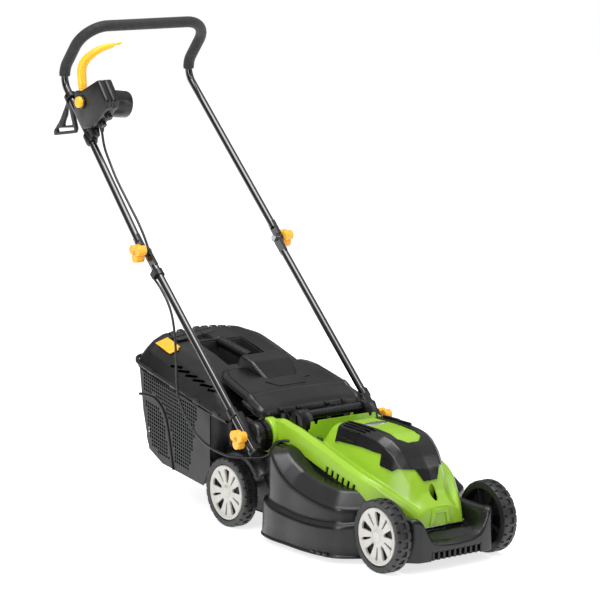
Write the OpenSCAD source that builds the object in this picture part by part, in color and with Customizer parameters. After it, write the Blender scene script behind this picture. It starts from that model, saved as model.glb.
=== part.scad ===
// Push lawn mower: corded rotary mower with a folding two-piece handle and a rear grass box.
// Lengths are millimetres, +Z is up, the front of the mower looks along -Y and -X is the
// right hand of the person who pushes it. Each sub-part is drawn with the front axle at Y = 0
// and the ground at Z = 0, and place() then moves it so that the origin is on the ground in
// the middle of the whole mower.

/* [Wheels] */
// Diameter of each wheel
wheel_d = 160; // [156:1:164]
// Width of each wheel
wheel_w = 38; // [34:1:40]
// Distance between the outer faces of the front wheels
front_track = 331; // [329:1:334]
// Distance between the outer faces of the rear wheels
rear_track = 395; // [393:1:398]
// Distance from the front axle to the rear axle
wheelbase = 515; // [512:1:518]
// Diameter of the steel axles
axle_d = 10; // [9:1:11]
// Travel of each axle in its height slots
height_travel = 30; // [20:1:32]

/* [Deck] */
// Width of the deck across its skirts
deck_w = 430; // [426:1:434]
// Height of the skirt's lower edge above the ground at the lowest setting
lip_z = 13; // [10:1:16]
// Height of the ledge round the skirt
ledge_z = 82; // [80:1:86]
// Wall thickness of the moulded deck
deck_t = 4; // [3:0.5:4.5]
// Distance from the front axle to the blade's axis
blade_y = 226; // [222:1:230]
// Length of the blade
blade_l = 318; // [300:1:320]

/* [Handle] */
// Outer diameter of the handle tubes
tube_d = 18; // [17:0.5:19]
// Wall thickness of the handle tubes
tube_t = 1.2; // [1:0.1:2]
// Outer diameter of the foam grip
grip_d = 27; // [25:0.5:28]
// Distance from the front axle to the handle's lower pivot
pivot_y = 448; // [446:1:450]
// Height of the handle's lower pivot
pivot_z = 218; // [216:1:220]
// Distance from the front axle to the folding joint halfway up
mid_y = 846; // [843:1:849]
// Height of the folding joint
mid_z = 590; // [587:1:593]
// Distance of the lower tubes from the middle plane
lower_x = 186; // [185.5:0.5:186.5]
// Diameter of the clamping bolts
bolt_d = 8; // [7:0.5:8]

/* [Grass box] */
// Width of the lid
lid_w = 380; // [374:1:384]
// Width of the basket
basket_w = 350; // [346:1:354]
// Distance from the front axle to the back of the box
box_rear = 928; // [920:1:932]
// Wall thickness of the box
box_t = 3; // [2.5:0.5:4]

/* [Hidden] */
$fn = 64;
HULL_FN = 20;

// Rotation that lays a profile drawn in (Y, Z) across the mower
ACROSS = [90, 0, 90];

black = "#2c2c2e";
satin = "#3a3a3d";
lime = "#a8dc28";
yellow = "#ffcf3a";
steel = "#b9bcc0";
cap_white = "#e4e2da";

wheel_r = wheel_d / 2;
axle_z = wheel_r;
fit_gap = 0.08;         // radial running clearance
mate_gap = 0.3;         // gap between faces of two bodies

front_in = front_track / 2 - wheel_w;
rear_in = rear_track / 2 - wheel_w;
arch_r = wheel_r + 6;   // clearance round each wheel

// The handle's lower and upper halves
lower_a = atan2(mid_z - pivot_z, mid_y - pivot_y);
upper_a = 45;
lower_l = sqrt(pow(mid_y - pivot_y, 2) + pow(mid_z - pivot_z, 2));
tab_t = 8;              // thickness of the flattened tube ends
tab_w = 23;             // width of the flattened tube ends
tab_in = tab_w / 2 - 0.4;
upper_x = lower_x + tab_t + 2 * mate_gap;   // at the folding joint
top_x = 179;            // at the grip
bend_v = [top_x + 1, mid_y + 383, mid_z + 383]; // corner where the tube turns forward
bar_v = [top_x, 1119, 1097];                    // corner of the grip's crossbar
bend_r = 48;
corner_r = 66;

bend_dir_in = unit(bend_v - [upper_x, mid_y, mid_z]);
bend_dir_out = unit(bar_v - bend_v);
bend_mid = bend_v + (bend_r / cos(turn(bend_dir_in, bend_dir_out) / 2) - bend_r)
    * unit(bend_dir_out - bend_dir_in);

// The deck's plan, right half of the blade chamber, drawn in by i
half_w = deck_w / 2;
function chamber_half(i) = [
    [0, 60 + i], [116 - 0.4 * i, 60 + i], [150 - 0.7 * i, 72 + 0.7 * i],
    [half_w - 9 - i, 142 + 0.4 * i], [half_w - i, 200], [half_w - i, 322],
    [half_w - 12 - i, 368 - 0.3 * i], [half_w - 36 - 0.8 * i, 398 - 0.8 * i],
    [150 - i, 406 - i], [0, 406 - i]
];
// Side view of the chamber's shoulder and of the crown inside it, as (Y, Z)
shoulder = [[40, 0], [40, 115], [117, 117], [190, 129], [263, 146], [300, 166], [346, 196], [410, 206], [410, 0]];
crown = [[40, 0], [40, 150], [108, 151], [198, 160], [272, 176], [327, 206], [410, 214], [410, 0]];
seat = [[-20, 82], [97, 128], [117, 143.5], [244, 172.5], [337, 200.5], [386, 208.5], [420, 209], [420, 300], [-20, 300]];
ledge_in = 14;
crown_in = 48;
roof_z = 203;           // underside of the chute's roof
side_plate = [[392, 40], [392, 176], [486, 176], [530, 186], [580, 168], [596, 120], [596, 60], [560, 40]];
hub_plate = [[330, 150], [330, 200], [408, 252], [484, 252], [484, 196], [440, 150]];

// The cowl's side view, as (Y, Z): ridge of the side rails above, their lower edge below
rail_foot = [[-14, 84], [30, 104], [98, 130], [117, 145], [244, 174], [337, 202], [386, 210], [430, 212]];
rail = concat(rail_foot, [
    [430, 258], [404, 260], [344, 251], [262, 228], [160, 199], [53, 171], [12, 152], [-8, 134], [-16, 118]
]);
cowl_t = 3;
rail_x = 125;
saddle_z = 226;
ring_r = 40;
hub_r = 36;
ring_x0 = 112;
ring_x1 = 135;
hub_x1 = 153;
plate_x1 = 176;

flap_pin_y = 452;
flap_pin_z = 268;
flap_a = 16.5;
flap_l = 205;
flap_w = 296;
post_w = 12;
post_x = [-95, -46, 34, 83];
spring_x = [-70, 70];

can_r = 54;
can_t = 3.5;
rotor_r = 39;
shaft_d = 16;
screw_x = 70;
screw_y = 326;
screw_d = 4.6;
blade_z = 31;

box_x = -185;           // middle of the switch box's thickness
case_plan = [[1025, 979], [987, 932], [992, 915], [1064, 860], [1095, 857], [1130, 894], [1137, 922], [1102, 947]];
room_plan = [[1027, 968], [995, 930], [998, 919], [1064, 867], [1092, 863], [1124, 895], [1128, 918], [1100, 938]];
button_yz = [1096, 921];
lever_yz = [1120, 936];
shroud_yz = [1041, 920];
shroud_r = 30;
lever_pin_d = 6;
hook_z = mid_z + 335;
hook_y = hook_z + mid_y - mid_z;
hook_reach = 76;

// The front wheels and the cord hook reach furthest, and the origin is midway between them
origin_y = (hook_y + hook_reach - wheel_r) / 2;

cable_d = 6;
gland_top = [-168, 1070, 884];
gland_end = [-168, 1064, 852];
gland_d = 13;
// The cable's route, right side, as points from the switch box to the cowl
upper_route = [
    [-168, 1066, 866], [-168, 1064, 846], [-167, 1055, 812], [-168, 1030, 778], [-170, 1000, 744],
    [-171, 966, 711], [-172, 936, 683], [-172, 905, 652], [-172, 880, 622], [-172, 858, 591]
];
lower_route = [
    [-172, 858, 589], [-173, 850, 578], [-176, 838, 562], [-186, 822, 546], [-198, 800, 536],
    [-202, 780, 527], [-203, 760, 513],
    [-204, 735, 490], [-205, 717, 465], [-206, 706, 436], [-206, 700, 400], [-206, 697, 350],
    [-206, 695, 310], [-206, 688, 272], [-206, 664, 236], [-206, 630, 206], [-205, 585, 184],
    [-202, 540, 173]
];
tail_route = [
    [-202, 536, 172], [-196, 500, 168], [-182, 472, 167], [-164, 452, 169], [-152, 430, 173],
    [-146, 412, 184], [-144, 403, 202], [-138, 390, 213], [-126, 372, 217], [-114, 356, 215]
];

// ---------------------------------------------------------------- helpers

function unit(v) = v / norm(v);
function turn(a, b) = acos(a * b);

// Moves a sub-part from the drawing frame to the model frame
module place() translate([0, -origin_y, 0]) children();

// A bar along X between x0 and x1
module bar_x(x0, x1, y, z, d)
    translate([min(x0, x1), y, z]) rotate([0, 90, 0]) cylinder(h = abs(x1 - x0), d = d);

// A (Y, Z) profile between x0 and x1
module across(x0, x1) translate([min(x0, x1), 0, 0]) rotate(ACROSS) linear_extrude(abs(x1 - x0)) children();

// A (X, Z) profile between y0 and y1
module along(y0, y1) translate([0, y1, 0]) rotate([90, 0, 0]) linear_extrude(y1 - y0) children();

// A box between two opposite corners
module block(a, b) translate(a) cube(b - a);

// The child as it is, and mirrored to the other side
module both() {
    children();
    mirror([1, 0, 0]) children();
}

// The child, drawn for the right-hand side, at the right (s = 1) or left (s = -1)
module side(s) mirror([s > 0 ? 0 : 1, 0, 0]) children();

// A straight round bar between two points
module rod(a, b, d) {
    v = b - a;
    translate(a) rotate([0, acos(v[2] / norm(v)), atan2(v[1], v[0])]) cylinder(h = norm(v), d = d);
}

// The middle line of a round bar through pts: each inner corner becomes an arc of radius r[i]
function bent_line(pts, r, steps = 8) = [
    for (i = [0:len(pts) - 1]) let (last = len(pts) - 1)
        if (i == 0 || i == last) pts[i]
        else let (
            u = unit(pts[i] - pts[i - 1]), w = unit(pts[i + 1] - pts[i]), phi = turn(u, w),
            inward = unit(w - (w * u) * u), start = pts[i] - u * r[i] * tan(phi / 2)
        )
            for (k = [0:steps]) start + r[i] * (sin(phi * k / steps) * u + (1 - cos(phi * k / steps)) * inward)
];

// A round bar or cable of diameter d swept along route as one polyhedron
module sweep(route, d, sides = 8) {
    n = len(route);
    tangent = [for (i = [0:n - 1]) unit(route[min(i + 1, n - 1)] - route[max(i - 1, 0)])];
    points = [
        for (i = [0:n - 1])
            let (u = unit(cross(tangent[i], [0.35, 0.12, -0.93])), w = cross(tangent[i], u))
                for (k = [0:sides - 1])
                    route[i] + d / 2 * (cos(360 * k / sides) * u + sin(360 * k / sides) * w)
    ];
    faces = concat(
        [[for (k = [0:sides - 1]) k]],
        [for (i = [0:n - 2]) for (k = [0:sides - 1])
            [i * sides + k, (i + 1) * sides + k, (i + 1) * sides + (k + 1) % sides, i * sides + (k + 1) % sides]],
        [[for (k = [sides - 1:-1:0]) (n - 1) * sides + k]]
    );
    polyhedron(points, faces);
}

// Places its children at distance s up the lower or the upper half of the handle
module on_lower(s) translate([0, pivot_y, pivot_z]) rotate([lower_a, 0, 0]) translate([0, s, 0]) children();
module on_upper(s) translate([0, mid_y, mid_z]) rotate([upper_a, 0, 0]) translate([0, s, 0]) children();

// ---------------------------------------------------------------- deck

module chamber_plan(i) {
    h = chamber_half(i);
    n = len(h);
    polygon(concat(h, [for (k = [n - 1:-1:0]) [-h[k][0], h[k][1]]]));
}

// The outside of the blade chamber, drawn in by i all round and lowered by i at the top
module chamber_form(i) {
    translate([0, 0, lip_z - i]) linear_extrude(ledge_z - lip_z) chamber_plan(i);
    intersection() {
        translate([0, 0, lip_z]) linear_extrude(250) chamber_plan(i + ledge_in);
        translate([0, 0, -i]) across(-half_w, half_w) polygon(shoulder);
    }
    difference() {
        intersection() {
            translate([0, 0, lip_z]) linear_extrude(250) chamber_plan(i + crown_in);
            translate([0, 0, -i]) across(-half_w, half_w) polygon(crown);
        }
        // the cowl sits in a hollow of the crown
        translate([0, 0, -i]) across(-rail_x - 1 - i, rail_x + 1 + i) polygon(seat);
    }
}

module bumper_plan(i)
    polygon([
        [-116 + i, 62], [-116 + i, -56 + i], [-100 + i, -75 + i],
        [100 - i, -75 + i], [116 - i, -56 + i], [116 - i, 62]
    ]);

// Front bumper: a U-shaped rim seen from the front, with a low middle and high shoulders
module bumper() {
    difference() {
        intersection() {
            translate([0, 0, 22]) linear_extrude(110) bumper_plan(0);
            along(-80, 62) polygon([
                [-116, 22], [116, 22], [116, 120], [92, 118], [78, 80], [56, 64],
                [-56, 64], [-78, 80], [-92, 118], [-116, 120]
            ]);
        }
        // the hollow below the floor, and the space in which the cowl's nose stands
        translate([0, 0, 20]) linear_extrude(36) bumper_plan(deck_t);
        translate([0, 0, 50]) linear_extrude(42) intersection() {
            bumper_plan(deck_t);
            translate([-120, -14]) square([240, 80]);
        }
        block([-92, -16, 96], [92, 70, 140]);
    }
    block([-112, -14 - deck_t, 52], [112, -14, 96]);
    block([-112, -14 - deck_t, 92], [112, 66, 96]);
}

module rear_frame() {
    both() {
        // side plate that carries the rear axle
        across(-144, -138) polygon(side_plate);
        // plate behind the handle's hub
        across(-111, -103) polygon(hub_plate);
        // chute wall
        block([-131, 396, 60], [-125, 462, roof_z + deck_t]);
        // fender over the rear wheel
        difference() {
            bar_x(-160, -139, wheelbase, axle_z, 2 * arch_r + 8);
            bar_x(-170, -130, wheelbase, axle_z, 2 * arch_r);
            block([-170, 400, -20], [-130, 640, axle_z + 45]);
        }
    }
    // chute roof and floor
    block([-131, 380, roof_z], [131, 462, roof_z + deck_t]);
    across(-128, 128) polygon([[396, 78], [462, 108], [462, 112], [396, 82]]);
    // hinge post of the rear flap, joined to the chute's roof
    for (x = post_x) {
        block([x, 438, roof_z], [x + post_w, 462, flap_pin_z - 6]);
        bar_x(x, x + post_w, flap_pin_y, flap_pin_z, 15);
    }
}

module wheel_room(x0, x1, y) {
    bar_x(x0, x1, y, axle_z, 2 * arch_r);
    bar_x(x0, x1, y, axle_z - height_travel, 2 * arch_r);
    block([min(x0, x1), y - arch_r, axle_z - height_travel], [max(x0, x1), y + arch_r, axle_z]);
}

module axle_slot(x0, x1, y) {
    w = axle_d + 2 * mate_gap;
    bar_x(x0, x1, y, axle_z, w);
    bar_x(x0, x1, y, axle_z - height_travel, w);
    block([x0, y - w / 2, axle_z - height_travel], [x1, y + w / 2, axle_z]);
}

module deck() color(black) place() difference() {
    union() {
        difference() {
            chamber_form(0);
            difference() {
                chamber_form(deck_t);
                translate([0, blade_y, 0]) cylinder(r = can_r + 14, h = 300);
            }
            translate([0, blade_y, -1]) cylinder(r = can_r + 15, h = 97);
            block([-125, 380, 84], [125, 420, roof_z]);
        }
        difference() {
            bumper();
            translate([0, 0, -mate_gap]) intersection() {
                translate([0, 0, 60]) linear_extrude(240) cowl_plan(-mate_gap);
                across(-rail_x - 1, rail_x + 1) polygon(concat(rail_foot, [[430, 320], [-30, 320], [-30, 78]]));
            }
        }
        rear_frame();
        // posts that the cowl's screws go into
        for (x = [-screw_x, screw_x]) translate([x, screw_y, 190]) cylinder(d = 13, h = saddle_z - 3.1 - 190);
    }
    both() bar_x(-ring_x1 - mate_gap, -ring_x0 + mate_gap, pivot_y, pivot_z, 2 * (ring_r + mate_gap));
    translate([0, blade_y, 104]) cylinder(r = can_r + 10, h = 200);
    translate([0, blade_y, 90]) cylinder(r = 12, h = 40);
    both() wheel_room(-170, -119, 0);
    axle_slot(-130, 130, 0);
    both() axle_slot(-150, -136, wheelbase);
    bar_x(-150, 150, pivot_y, pivot_z, bolt_d + 0.4);
    bar_x(-150, 150, flap_pin_y, flap_pin_z, 4.8);
    for (x = [-screw_x, screw_x]) translate([x, screw_y, saddle_z - 24]) cylinder(d = screw_d, h = 40);
}

// ---------------------------------------------------------------- cowl

// The dome over the motor, grown by g all round
module dome(g) {
    r = 14;
    places = [
        [40, 285, 249], [41, 118, 250], [44, 72, 228], [50, 43, 192], [56, 26, 146],
        [73, 62, 148], [75, 300, 184], [62, 346, 190]
    ];
    hull() for (p = places) for (s = [-1, 1]) translate([s * p[0], p[1], p[2]]) sphere(r = r + g, $fn = HULL_FN);
}

module cowl_plan(t) {
    half = [[0, -16 + t], [60 - t, -14 + t], [86 - t, 12 + t], [108 - t, 70], [rail_x - t, 112], [rail_x - t, 430]];
    polygon(concat(half, [for (k = [5:-1:0]) [-half[k][0], half[k][1]]]));
}

module rails(t) difference() {
    intersection() {
        translate([0, 0, 60]) linear_extrude(240) cowl_plan(t);
        translate([0, t > 0 ? 2 * t : 0, -t]) across(-rail_x, rail_x) polygon(rail);
    }
    block([-100 - t, 280 - t, saddle_z - t], [100 + t, 440, 300]);
}

module motor_cowl() color(lime) place() difference() {
    union() {
        difference() {
            union() {
                rails(0);
                dome(0);
            }
            rails(cowl_t);
            dome(-cowl_t);
            // open underside
            across(-rail_x - 1, rail_x + 1) polygon([
                [-10, 70], [-10, 86], [30, 108], [98, 134], [117, 146], [244, 172], [337, 199], [386, 206],
                [440, 206], [440, 70]
            ]);
        }
        both() bar_x(-ring_x1, -ring_x0, pivot_y, pivot_z, 2 * ring_r);
    }
    both() bar_x(-ring_x1 - 1, -ring_x0 - 4, pivot_y, pivot_z, 2 * hub_r + 0.4);
    bar_x(-140, 140, pivot_y, pivot_z, bolt_d + 0.4);
    // way in for the mains cable
    rod([-140, 392, 217.4], [-105, 343, 214], cable_d + 1);
    // cooling comb along the lower edge of each rail
    both() for (k = [0:5]) translate([-rail_x - 2, 128 + k * 20, 150 + k * 5.3]) cube([8, 9, 14]);
    for (x = [-screw_x, screw_x]) translate([x, screw_y, saddle_z - 10]) cylinder(d = screw_d, h = 20);
}

module cowl_trim() color(black) place() difference() {
    intersection() {
        dome(2.6);
        across(-110, 110) polygon([
            [296, 227.5], [290, 300], [60, 300], [-10, 176], [30, 172], [52, 184], [72, 196], [100, 226],
            [160, 232], [240, 234], [279, 237], [281, 227.5]
        ]);
    }
    dome(0.02);
    // the cowl's top panel shows between the two sides of the trim
    translate([0, 0, 240]) linear_extrude(60) polygon([[-33, 320], [-33, 92], [0, 70], [33, 92], [33, 320]]);
    // louvres
    both() for (k = [0:3]) translate([-90, 140 + k * 34, 238]) cube([46, 22, 5]);
}

module badge_plate() color("silver") place() translate([0, 214, 264.05]) linear_extrude(1.6) lens(62, 26);

// A pointed oval made from two arcs, w wide and d deep
module lens(w, d) intersection() {
    r = (w * w / 4 + d * d / 4) / d;
    translate([0, r - d / 2]) circle(r = r, $fn = 180);
    translate([0, d / 2 - r]) circle(r = r, $fn = 180);
}

module carry_handle() color(black) place() {
    both() difference() {
        across(-99, -82) polygon([[344, 226.2], [384, 226.2], [388, 262], [378, 280], [360, 282], [350, 266]]);
        across(-92, -80) polygon([[360, 250], [370, 250], [372, 266], [366, 270]]);
    }
    bar_x(-84, 84, 368, 270, 21);
}

module motor_can() color("#4a4a4c") place() translate([0, blade_y, 104.1]) difference() {
    union() {
        cylinder(r = can_r, h = 106);
        translate([0, 0, 106]) cylinder(r = 24, h = 14);
    }
    translate([0, 0, 6]) cylinder(r = can_r - can_t, h = 94);
    translate([0, 0, -1]) cylinder(d = shaft_d + 2 * fit_gap, h = 130);
}

module motor_stator() color("#7d6a52") place() translate([0, blade_y, 128]) difference() {
    cylinder(r = can_r - can_t, h = 62);
    translate([0, 0, -1]) cylinder(r = rotor_r + 0.5, h = 70);
}

module pivot_hub(s) color(satin) place() side(s) difference() {
    bar_x(-hub_x1, -ring_x0 - 4.1, pivot_y, pivot_z, 2 * hub_r);
    bar_x(-hub_x1 - 1, -ring_x0, pivot_y, pivot_z, bolt_d + 0.4);
}

module pivot_bolts() color(steel) place() both() {
    bar_x(-209, -96, pivot_y, pivot_z, bolt_d);
    bar_x(-102.9, -96, pivot_y, pivot_z, 17);
}

module cowl_screws() color(steel) place() for (x = [-screw_x, screw_x]) translate([x, screw_y, 0]) {
    translate([0, 0, saddle_z - 22]) cylinder(d = screw_d, h = 22.5);
    translate([0, 0, saddle_z]) cylinder(d = 9, h = 2.5);
}

module flap_pin() color(steel) place() bar_x(-146, 146, flap_pin_y, flap_pin_z, 4.8);

// Two torsion springs on the pin, drawn as closed sleeves with a straight wire end
module flap_springs() color(steel) place() for (x = spring_x) {
    difference() {
        bar_x(x - 9, x + 9, flap_pin_y, flap_pin_z, 9.6);
        bar_x(x - 10, x + 10, flap_pin_y, flap_pin_z, 5.4);
    }
    rod([x - 7, flap_pin_y - 4.2, flap_pin_z], [x - 7, 425, 248], 1.6);
}

module cable_tail() color("#1e1e20") place() sweep(tail_route, cable_d);

// ---------------------------------------------------------------- wheels

module axle(track, y) color(steel) place() bar_x(-track / 2 + 9, track / 2 - 9, y, axle_z, axle_d);

module wheel_nuts(track, y) color(steel) place() both() difference() {
    bar_x(-track / 2 + 9, -track / 2 + 16, y, axle_z, 18);
    bar_x(-track / 2, -track / 2 + 20, y, axle_z, axle_d);
}

module front_axle() axle(front_track, 0);
module rear_axle() axle(rear_track, wheelbase);
module front_wheel_nuts() wheel_nuts(front_track, 0);
module rear_wheel_nuts() wheel_nuts(rear_track, wheelbase);

// Half section of the wheel's rim, as (radius, distance from the outer face)
tyre = [
    [63, 3], [wheel_r - 5, 1], [wheel_r - 1, 5], [wheel_r, 10], [wheel_r, wheel_w - 8],
    [wheel_r - 2, wheel_w - 2], [wheel_r - 6, wheel_w], [62, wheel_w], [62, 20], [14, 20], [14, wheel_w - 2],
    [axle_d / 2 + fit_gap, wheel_w - 2], [axle_d / 2 + fit_gap, 16.4], [14, 16.4], [14, 12], [60, 12], [63, 9]
];

module wheel(track, y) place() translate([-track / 2, y, axle_z]) rotate([0, 90, 0]) {
    difference() {
        rotate_extrude($fn = 96) polygon(tyre);
        // tread windows round the edge
        for (k = [0:23]) rotate([0, 0, k * 15 + 6]) translate([wheel_r - 3, -4, k % 2 == 0 ? 11 : 20]) cube([6, 8, 8]);
    }
    // ribs behind the disc
    for (k = [0:7]) rotate([0, 0, k * 45 + 20]) translate([13, -1.5, 19]) cube([50, 3, 12]);
}

// Dished cap with ten spokes in five pairs
module hub_cap(track, y) place() translate([-track / 2, y, axle_z]) rotate([0, 90, 0]) {
    difference() {
        rotate_extrude($fn = 96) polygon([[0, 0], [13, 0], [20, 4.4], [54, 5], [60, 1], [62.6, 3], [62.6, 8.6], [59, 11.6], [56, 11.6], [52, 8], [11, 8], [0, 3]]);
        for (k = [0:9]) rotate([0, 0, k * 36 + (k % 2 == 0 ? 3 : -3)])
            translate([0, 0, -1]) linear_extrude(14) polygon([[25, -1.6], [50, -6], [50, 6], [25, 1.6]]);
    }
}

module wheel_front_right() color(black) wheel(front_track, 0);
module wheel_front_left() color(black) mirror([1, 0, 0]) wheel(front_track, 0);
module wheel_rear_right() color(black) wheel(rear_track, wheelbase);
module wheel_rear_left() color(black) mirror([1, 0, 0]) wheel(rear_track, wheelbase);
module hub_cap_front_right() color(cap_white) hub_cap(front_track, 0);
module hub_cap_front_left() color(cap_white) mirror([1, 0, 0]) hub_cap(front_track, 0);
module hub_cap_rear_right() color(cap_white) hub_cap(rear_track, wheelbase);
module hub_cap_rear_left() color(cap_white) mirror([1, 0, 0]) hub_cap(rear_track, wheelbase);

// ---------------------------------------------------------------- motor and blade

module motor_rotor() color(steel) place() translate([0, blade_y, 0]) {
    translate([0, 0, 52]) cylinder(d = shaft_d, h = 186);
    translate([0, 0, 128]) cylinder(r = rotor_r, h = 62);
}

module blade_carrier() color(black) place() translate([0, blade_y, 0]) difference() {
    union() {
        translate([0, 0, blade_z + 3]) cylinder(d = 60, h = 9);
        translate([0, 0, blade_z + 3]) cylinder(d = 44, h = 46);
        translate([0, 0, blade_z + 40]) cylinder(d = 128, h = 3);
        for (k = [0:5]) rotate([0, 0, 60 * k]) translate([20, -1.5, blade_z + 43]) cube([40, 3, 12]);
    }
    translate([0, 0, 52]) cylinder(d = shaft_d, h = 60);
    translate([0, 0, blade_z]) cylinder(d = 8, h = 60);
}

module blade() color(steel) place() translate([0, blade_y, blade_z]) difference() {
    linear_extrude(3) intersection() {
        square([blade_l, 46], center = true);
        circle(d = blade_l);
    }
    translate([0, 0, -1]) cylinder(d = 8, h = 6);
    for (s = [0, 180]) rotate([0, 0, s]) translate([82, 14, -1]) cube([80, 12, 6]);
}

module blade_bolt() color(steel) place() translate([0, blade_y, 0]) {
    translate([0, 0, blade_z - 9]) cylinder(d = 15, h = 6, $fn = 6);
    translate([0, 0, blade_z - 3]) cylinder(d = 30, h = 3);
    translate([0, 0, blade_z]) cylinder(d = 8, h = 21);
}

// ---------------------------------------------------------------- rear flap

module rear_flap() color(satin) place() translate([0, flap_pin_y, flap_pin_z]) rotate([flap_a, 0, 0]) difference() {
    union() {
        translate([0, 0, 1]) linear_extrude(4) polygon([
            [-flap_w / 2, -2], [flap_w / 2, -2], [flap_w / 2, 60], [flap_w / 2 - 12, flap_l - 18], [flap_w / 2 - 34, flap_l],
            [34 - flap_w / 2, flap_l], [12 - flap_w / 2, flap_l - 18], [-flap_w / 2, 60]
        ]);
        // side skirts
        both() block([-flap_w / 2, -2, -14], [-flap_w / 2 + 4, 60, 3]);
        // finger grip: a wedge that opens rearwards
        across(-50, 50) polygon([[120, 4], [176, 30], [206, 26], [206, 20], [178, 22], [176, 4]]);
        // knuckles of the hinge
        both() bar_x(108, 140, 0, 0, 12);
        bar_x(-32, 32, 0, 0, 12);
    }
    bar_x(-160, 160, 0, 0, 4.8 + 2 * fit_gap);
    // room for the deck's knuckles and the springs
    for (x = post_x) block([x - 0.6, -20, -12], [x + post_w + 0.6, 9, 12]);
    for (x = spring_x) block([x - 10, -20, -12], [x + 10, 9, 12]);
}

// ---------------------------------------------------------------- grass box

// Height of the rim between basket and lid at distance y
function rim_z(y) = 236 + (y - 500) * 0.213;

module rim_cut(up) across(-300, 300) polygon([
    [300, rim_z(300)], [1100, rim_z(1100)], [1100, up ? 900 : -100], [300, up ? 900 : -100]
]);

// Side view of the basket, drawn in by t
function basket_side(t) = [
    [500 - 2 * t, 128 + t], [608, 118 + t], [636 + t, 66 + t], [806, 88 + t], [866 - t, 116 + t],
    [886 - t, 200], [906 - t, 420], [500 - 2 * t, 420]
];

module basket_form(t) intersection() {
    across(-basket_w / 2 + t, basket_w / 2 - t) polygon(basket_side(t));
    translate([0, 0, 40]) linear_extrude(400) polygon([
        [-122 + t, 480], [-122 + t, 600], [-150 + t, 604 + t], [-basket_w / 2 + t, 622 + t], [-basket_w / 2 + t, 880], [-140 + t, 920 - t],
        [140 - t, 920 - t], [basket_w / 2 - t, 880], [basket_w / 2 - t, 622 + t], [150 - t, 604 + t], [122 - t, 600], [122 - t, 480]
    ]);
}

module grass_basket() color(black) place() difference() {
    basket_form(0);
    basket_form(box_t);
    rim_cut(true);
}

// The lid's crowned form, drawn in by t
module lid_form(t) {
    r = 16;
    w = lid_w / 2 - r;
    places = [
        [w, 520, 232], [w, 860, 296], [w - 18, 520, 236], [w - 24, 850, 348], [w - 60, box_rear - 40, 360],
        [w - 46, box_rear - r, 310], [w - 62, box_rear - 22, 352], [60, box_rear - 30, 372], [60, 880, 377], [100, 700, 318], [90, 560, 262]
    ];
    hull() for (p = places) for (s = [-1, 1]) translate([s * p[0], p[1], p[2]]) sphere(r = r - t, $fn = HULL_FN);
}

module grass_lid() color(satin) place() difference() {
    union() {
        difference() {
            lid_form(0);
            lid_form(box_t);
            rim_cut(false);
        }
        // pocket under the carrying bar
        intersection() {
            difference() {
                block([-66, 690, 292], [66, 822, 420]);
                block([-63, 693, 295], [63, 819, 430]);
            }
            lid_form(0);
        }
    }
    block([-63, 693, 295], [63, 819, 430]);
    // front mouth, and room for the flap that rests on the box
    block([-116, 480, 200], [116, 530, 252]);
    translate([0, flap_pin_y, flap_pin_z]) rotate([flap_a, 0, 0]) block([-170, -40, 0.7], [170, flap_l + 6, 90]);
    // seat of the inset plate
    at_inset() block([-20.2, -34.2, -1.8], [20.2, 34.2, 20]);
}

module grass_handle() color(black) place() intersection() {
    rod([0, 826, 353], [0, 687, 333], 24);
    block([-12, 693, 310], [12, 819, 380]);
}

// Places its children on the lid's slope, beside the carrying bar
module at_inset() translate([-132, 830, 364]) rotate([15.4, -13.6, 0]) children();

module grass_inset() color(yellow) place() at_inset() block([-20, -34, -1.75], [20, 34, 0.8]);

// ---------------------------------------------------------------- lower handle

module lower_tube(s) color(black) place() side(s) difference() {
    union() {
        on_lower(-42) translate([-lower_x, 0, 0]) rotate([-90, 45, 0]) cylinder(h = lower_l, d = tube_d);
        on_lower(lower_l) block([-lower_x - tab_t / 2, -46, -tab_in], [-lower_x + tab_t / 2, -7, tab_in]);
        on_lower(lower_l) translate([-lower_x - tab_t / 2, 0, 0]) rotate([90, 90, 90]) cylinder(h = tab_t, d = tab_w);
    }
    on_lower(-43) translate([-lower_x, 0, 0]) rotate([-90, 45, 0]) cylinder(h = lower_l - 4, d = tube_d - 2 * tube_t);
    bar_x(-lower_x - 20, -lower_x + 20, pivot_y, pivot_z, bolt_d + 2 * fit_gap);
    bar_x(-lower_x - 20, -lower_x + 20, mid_y, mid_z, bolt_d);
}

// Outer half of the ratchet with the channel that holds the tube
module pivot_plate(s) color(satin) place() side(s) difference() {
    union() {
        bar_x(-plate_x1, -hub_x1 - mate_gap, pivot_y, pivot_z, 2 * hub_r - 4);
        on_lower(0) block([-lower_x - 2, -40, -13], [-168, 78, 13]);
        on_lower(60) translate([-lower_x, 0, 0]) rotate([-90, 0, 0]) cylinder(h = 18, d = tube_d + 7);
    }
    on_lower(-50) translate([-lower_x, 0, 0]) rotate([-90, 0, 0]) cylinder(h = 160, d = tube_d);
    bar_x(-200, -150, pivot_y, pivot_z, bolt_d + 2 * fit_gap);
}

module mid_bolts() color(steel) place() both() {
    bar_x(-219, -178, mid_y, mid_z, bolt_d);
    bar_x(-181.9, -176, mid_y, mid_z, 15);
}

// Clip that holds the cable to the right-hand tube
module cable_clip() color(black) place() difference() {
    union() {
        on_lower(lower_l - 74) translate([-lower_x, 0, 0]) rotate([-90, 0, 0]) cylinder(h = 16, d = tube_d + 6);
        on_lower(lower_l - 74) block([-lower_x - 16, 0, -10], [-lower_x, 16, 10]);
    }
    on_lower(lower_l - 90) translate([-lower_x, 0, 0]) rotate([-90, 0, 0]) cylinder(h = 50, d = tube_d);
    sweep(lower_route, cable_d + 0.4);
}

module cable_lower() color("#1e1e20") place() sweep(lower_route, cable_d);

// ---------------------------------------------------------------- upper handle

// Middle line of the upper tube, from one folding joint round the grip to the other
function both_ends(half) = concat(half, [for (k = [len(half) - 1:-1:0]) [-half[k][0], half[k][1], half[k][2]]]);

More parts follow.
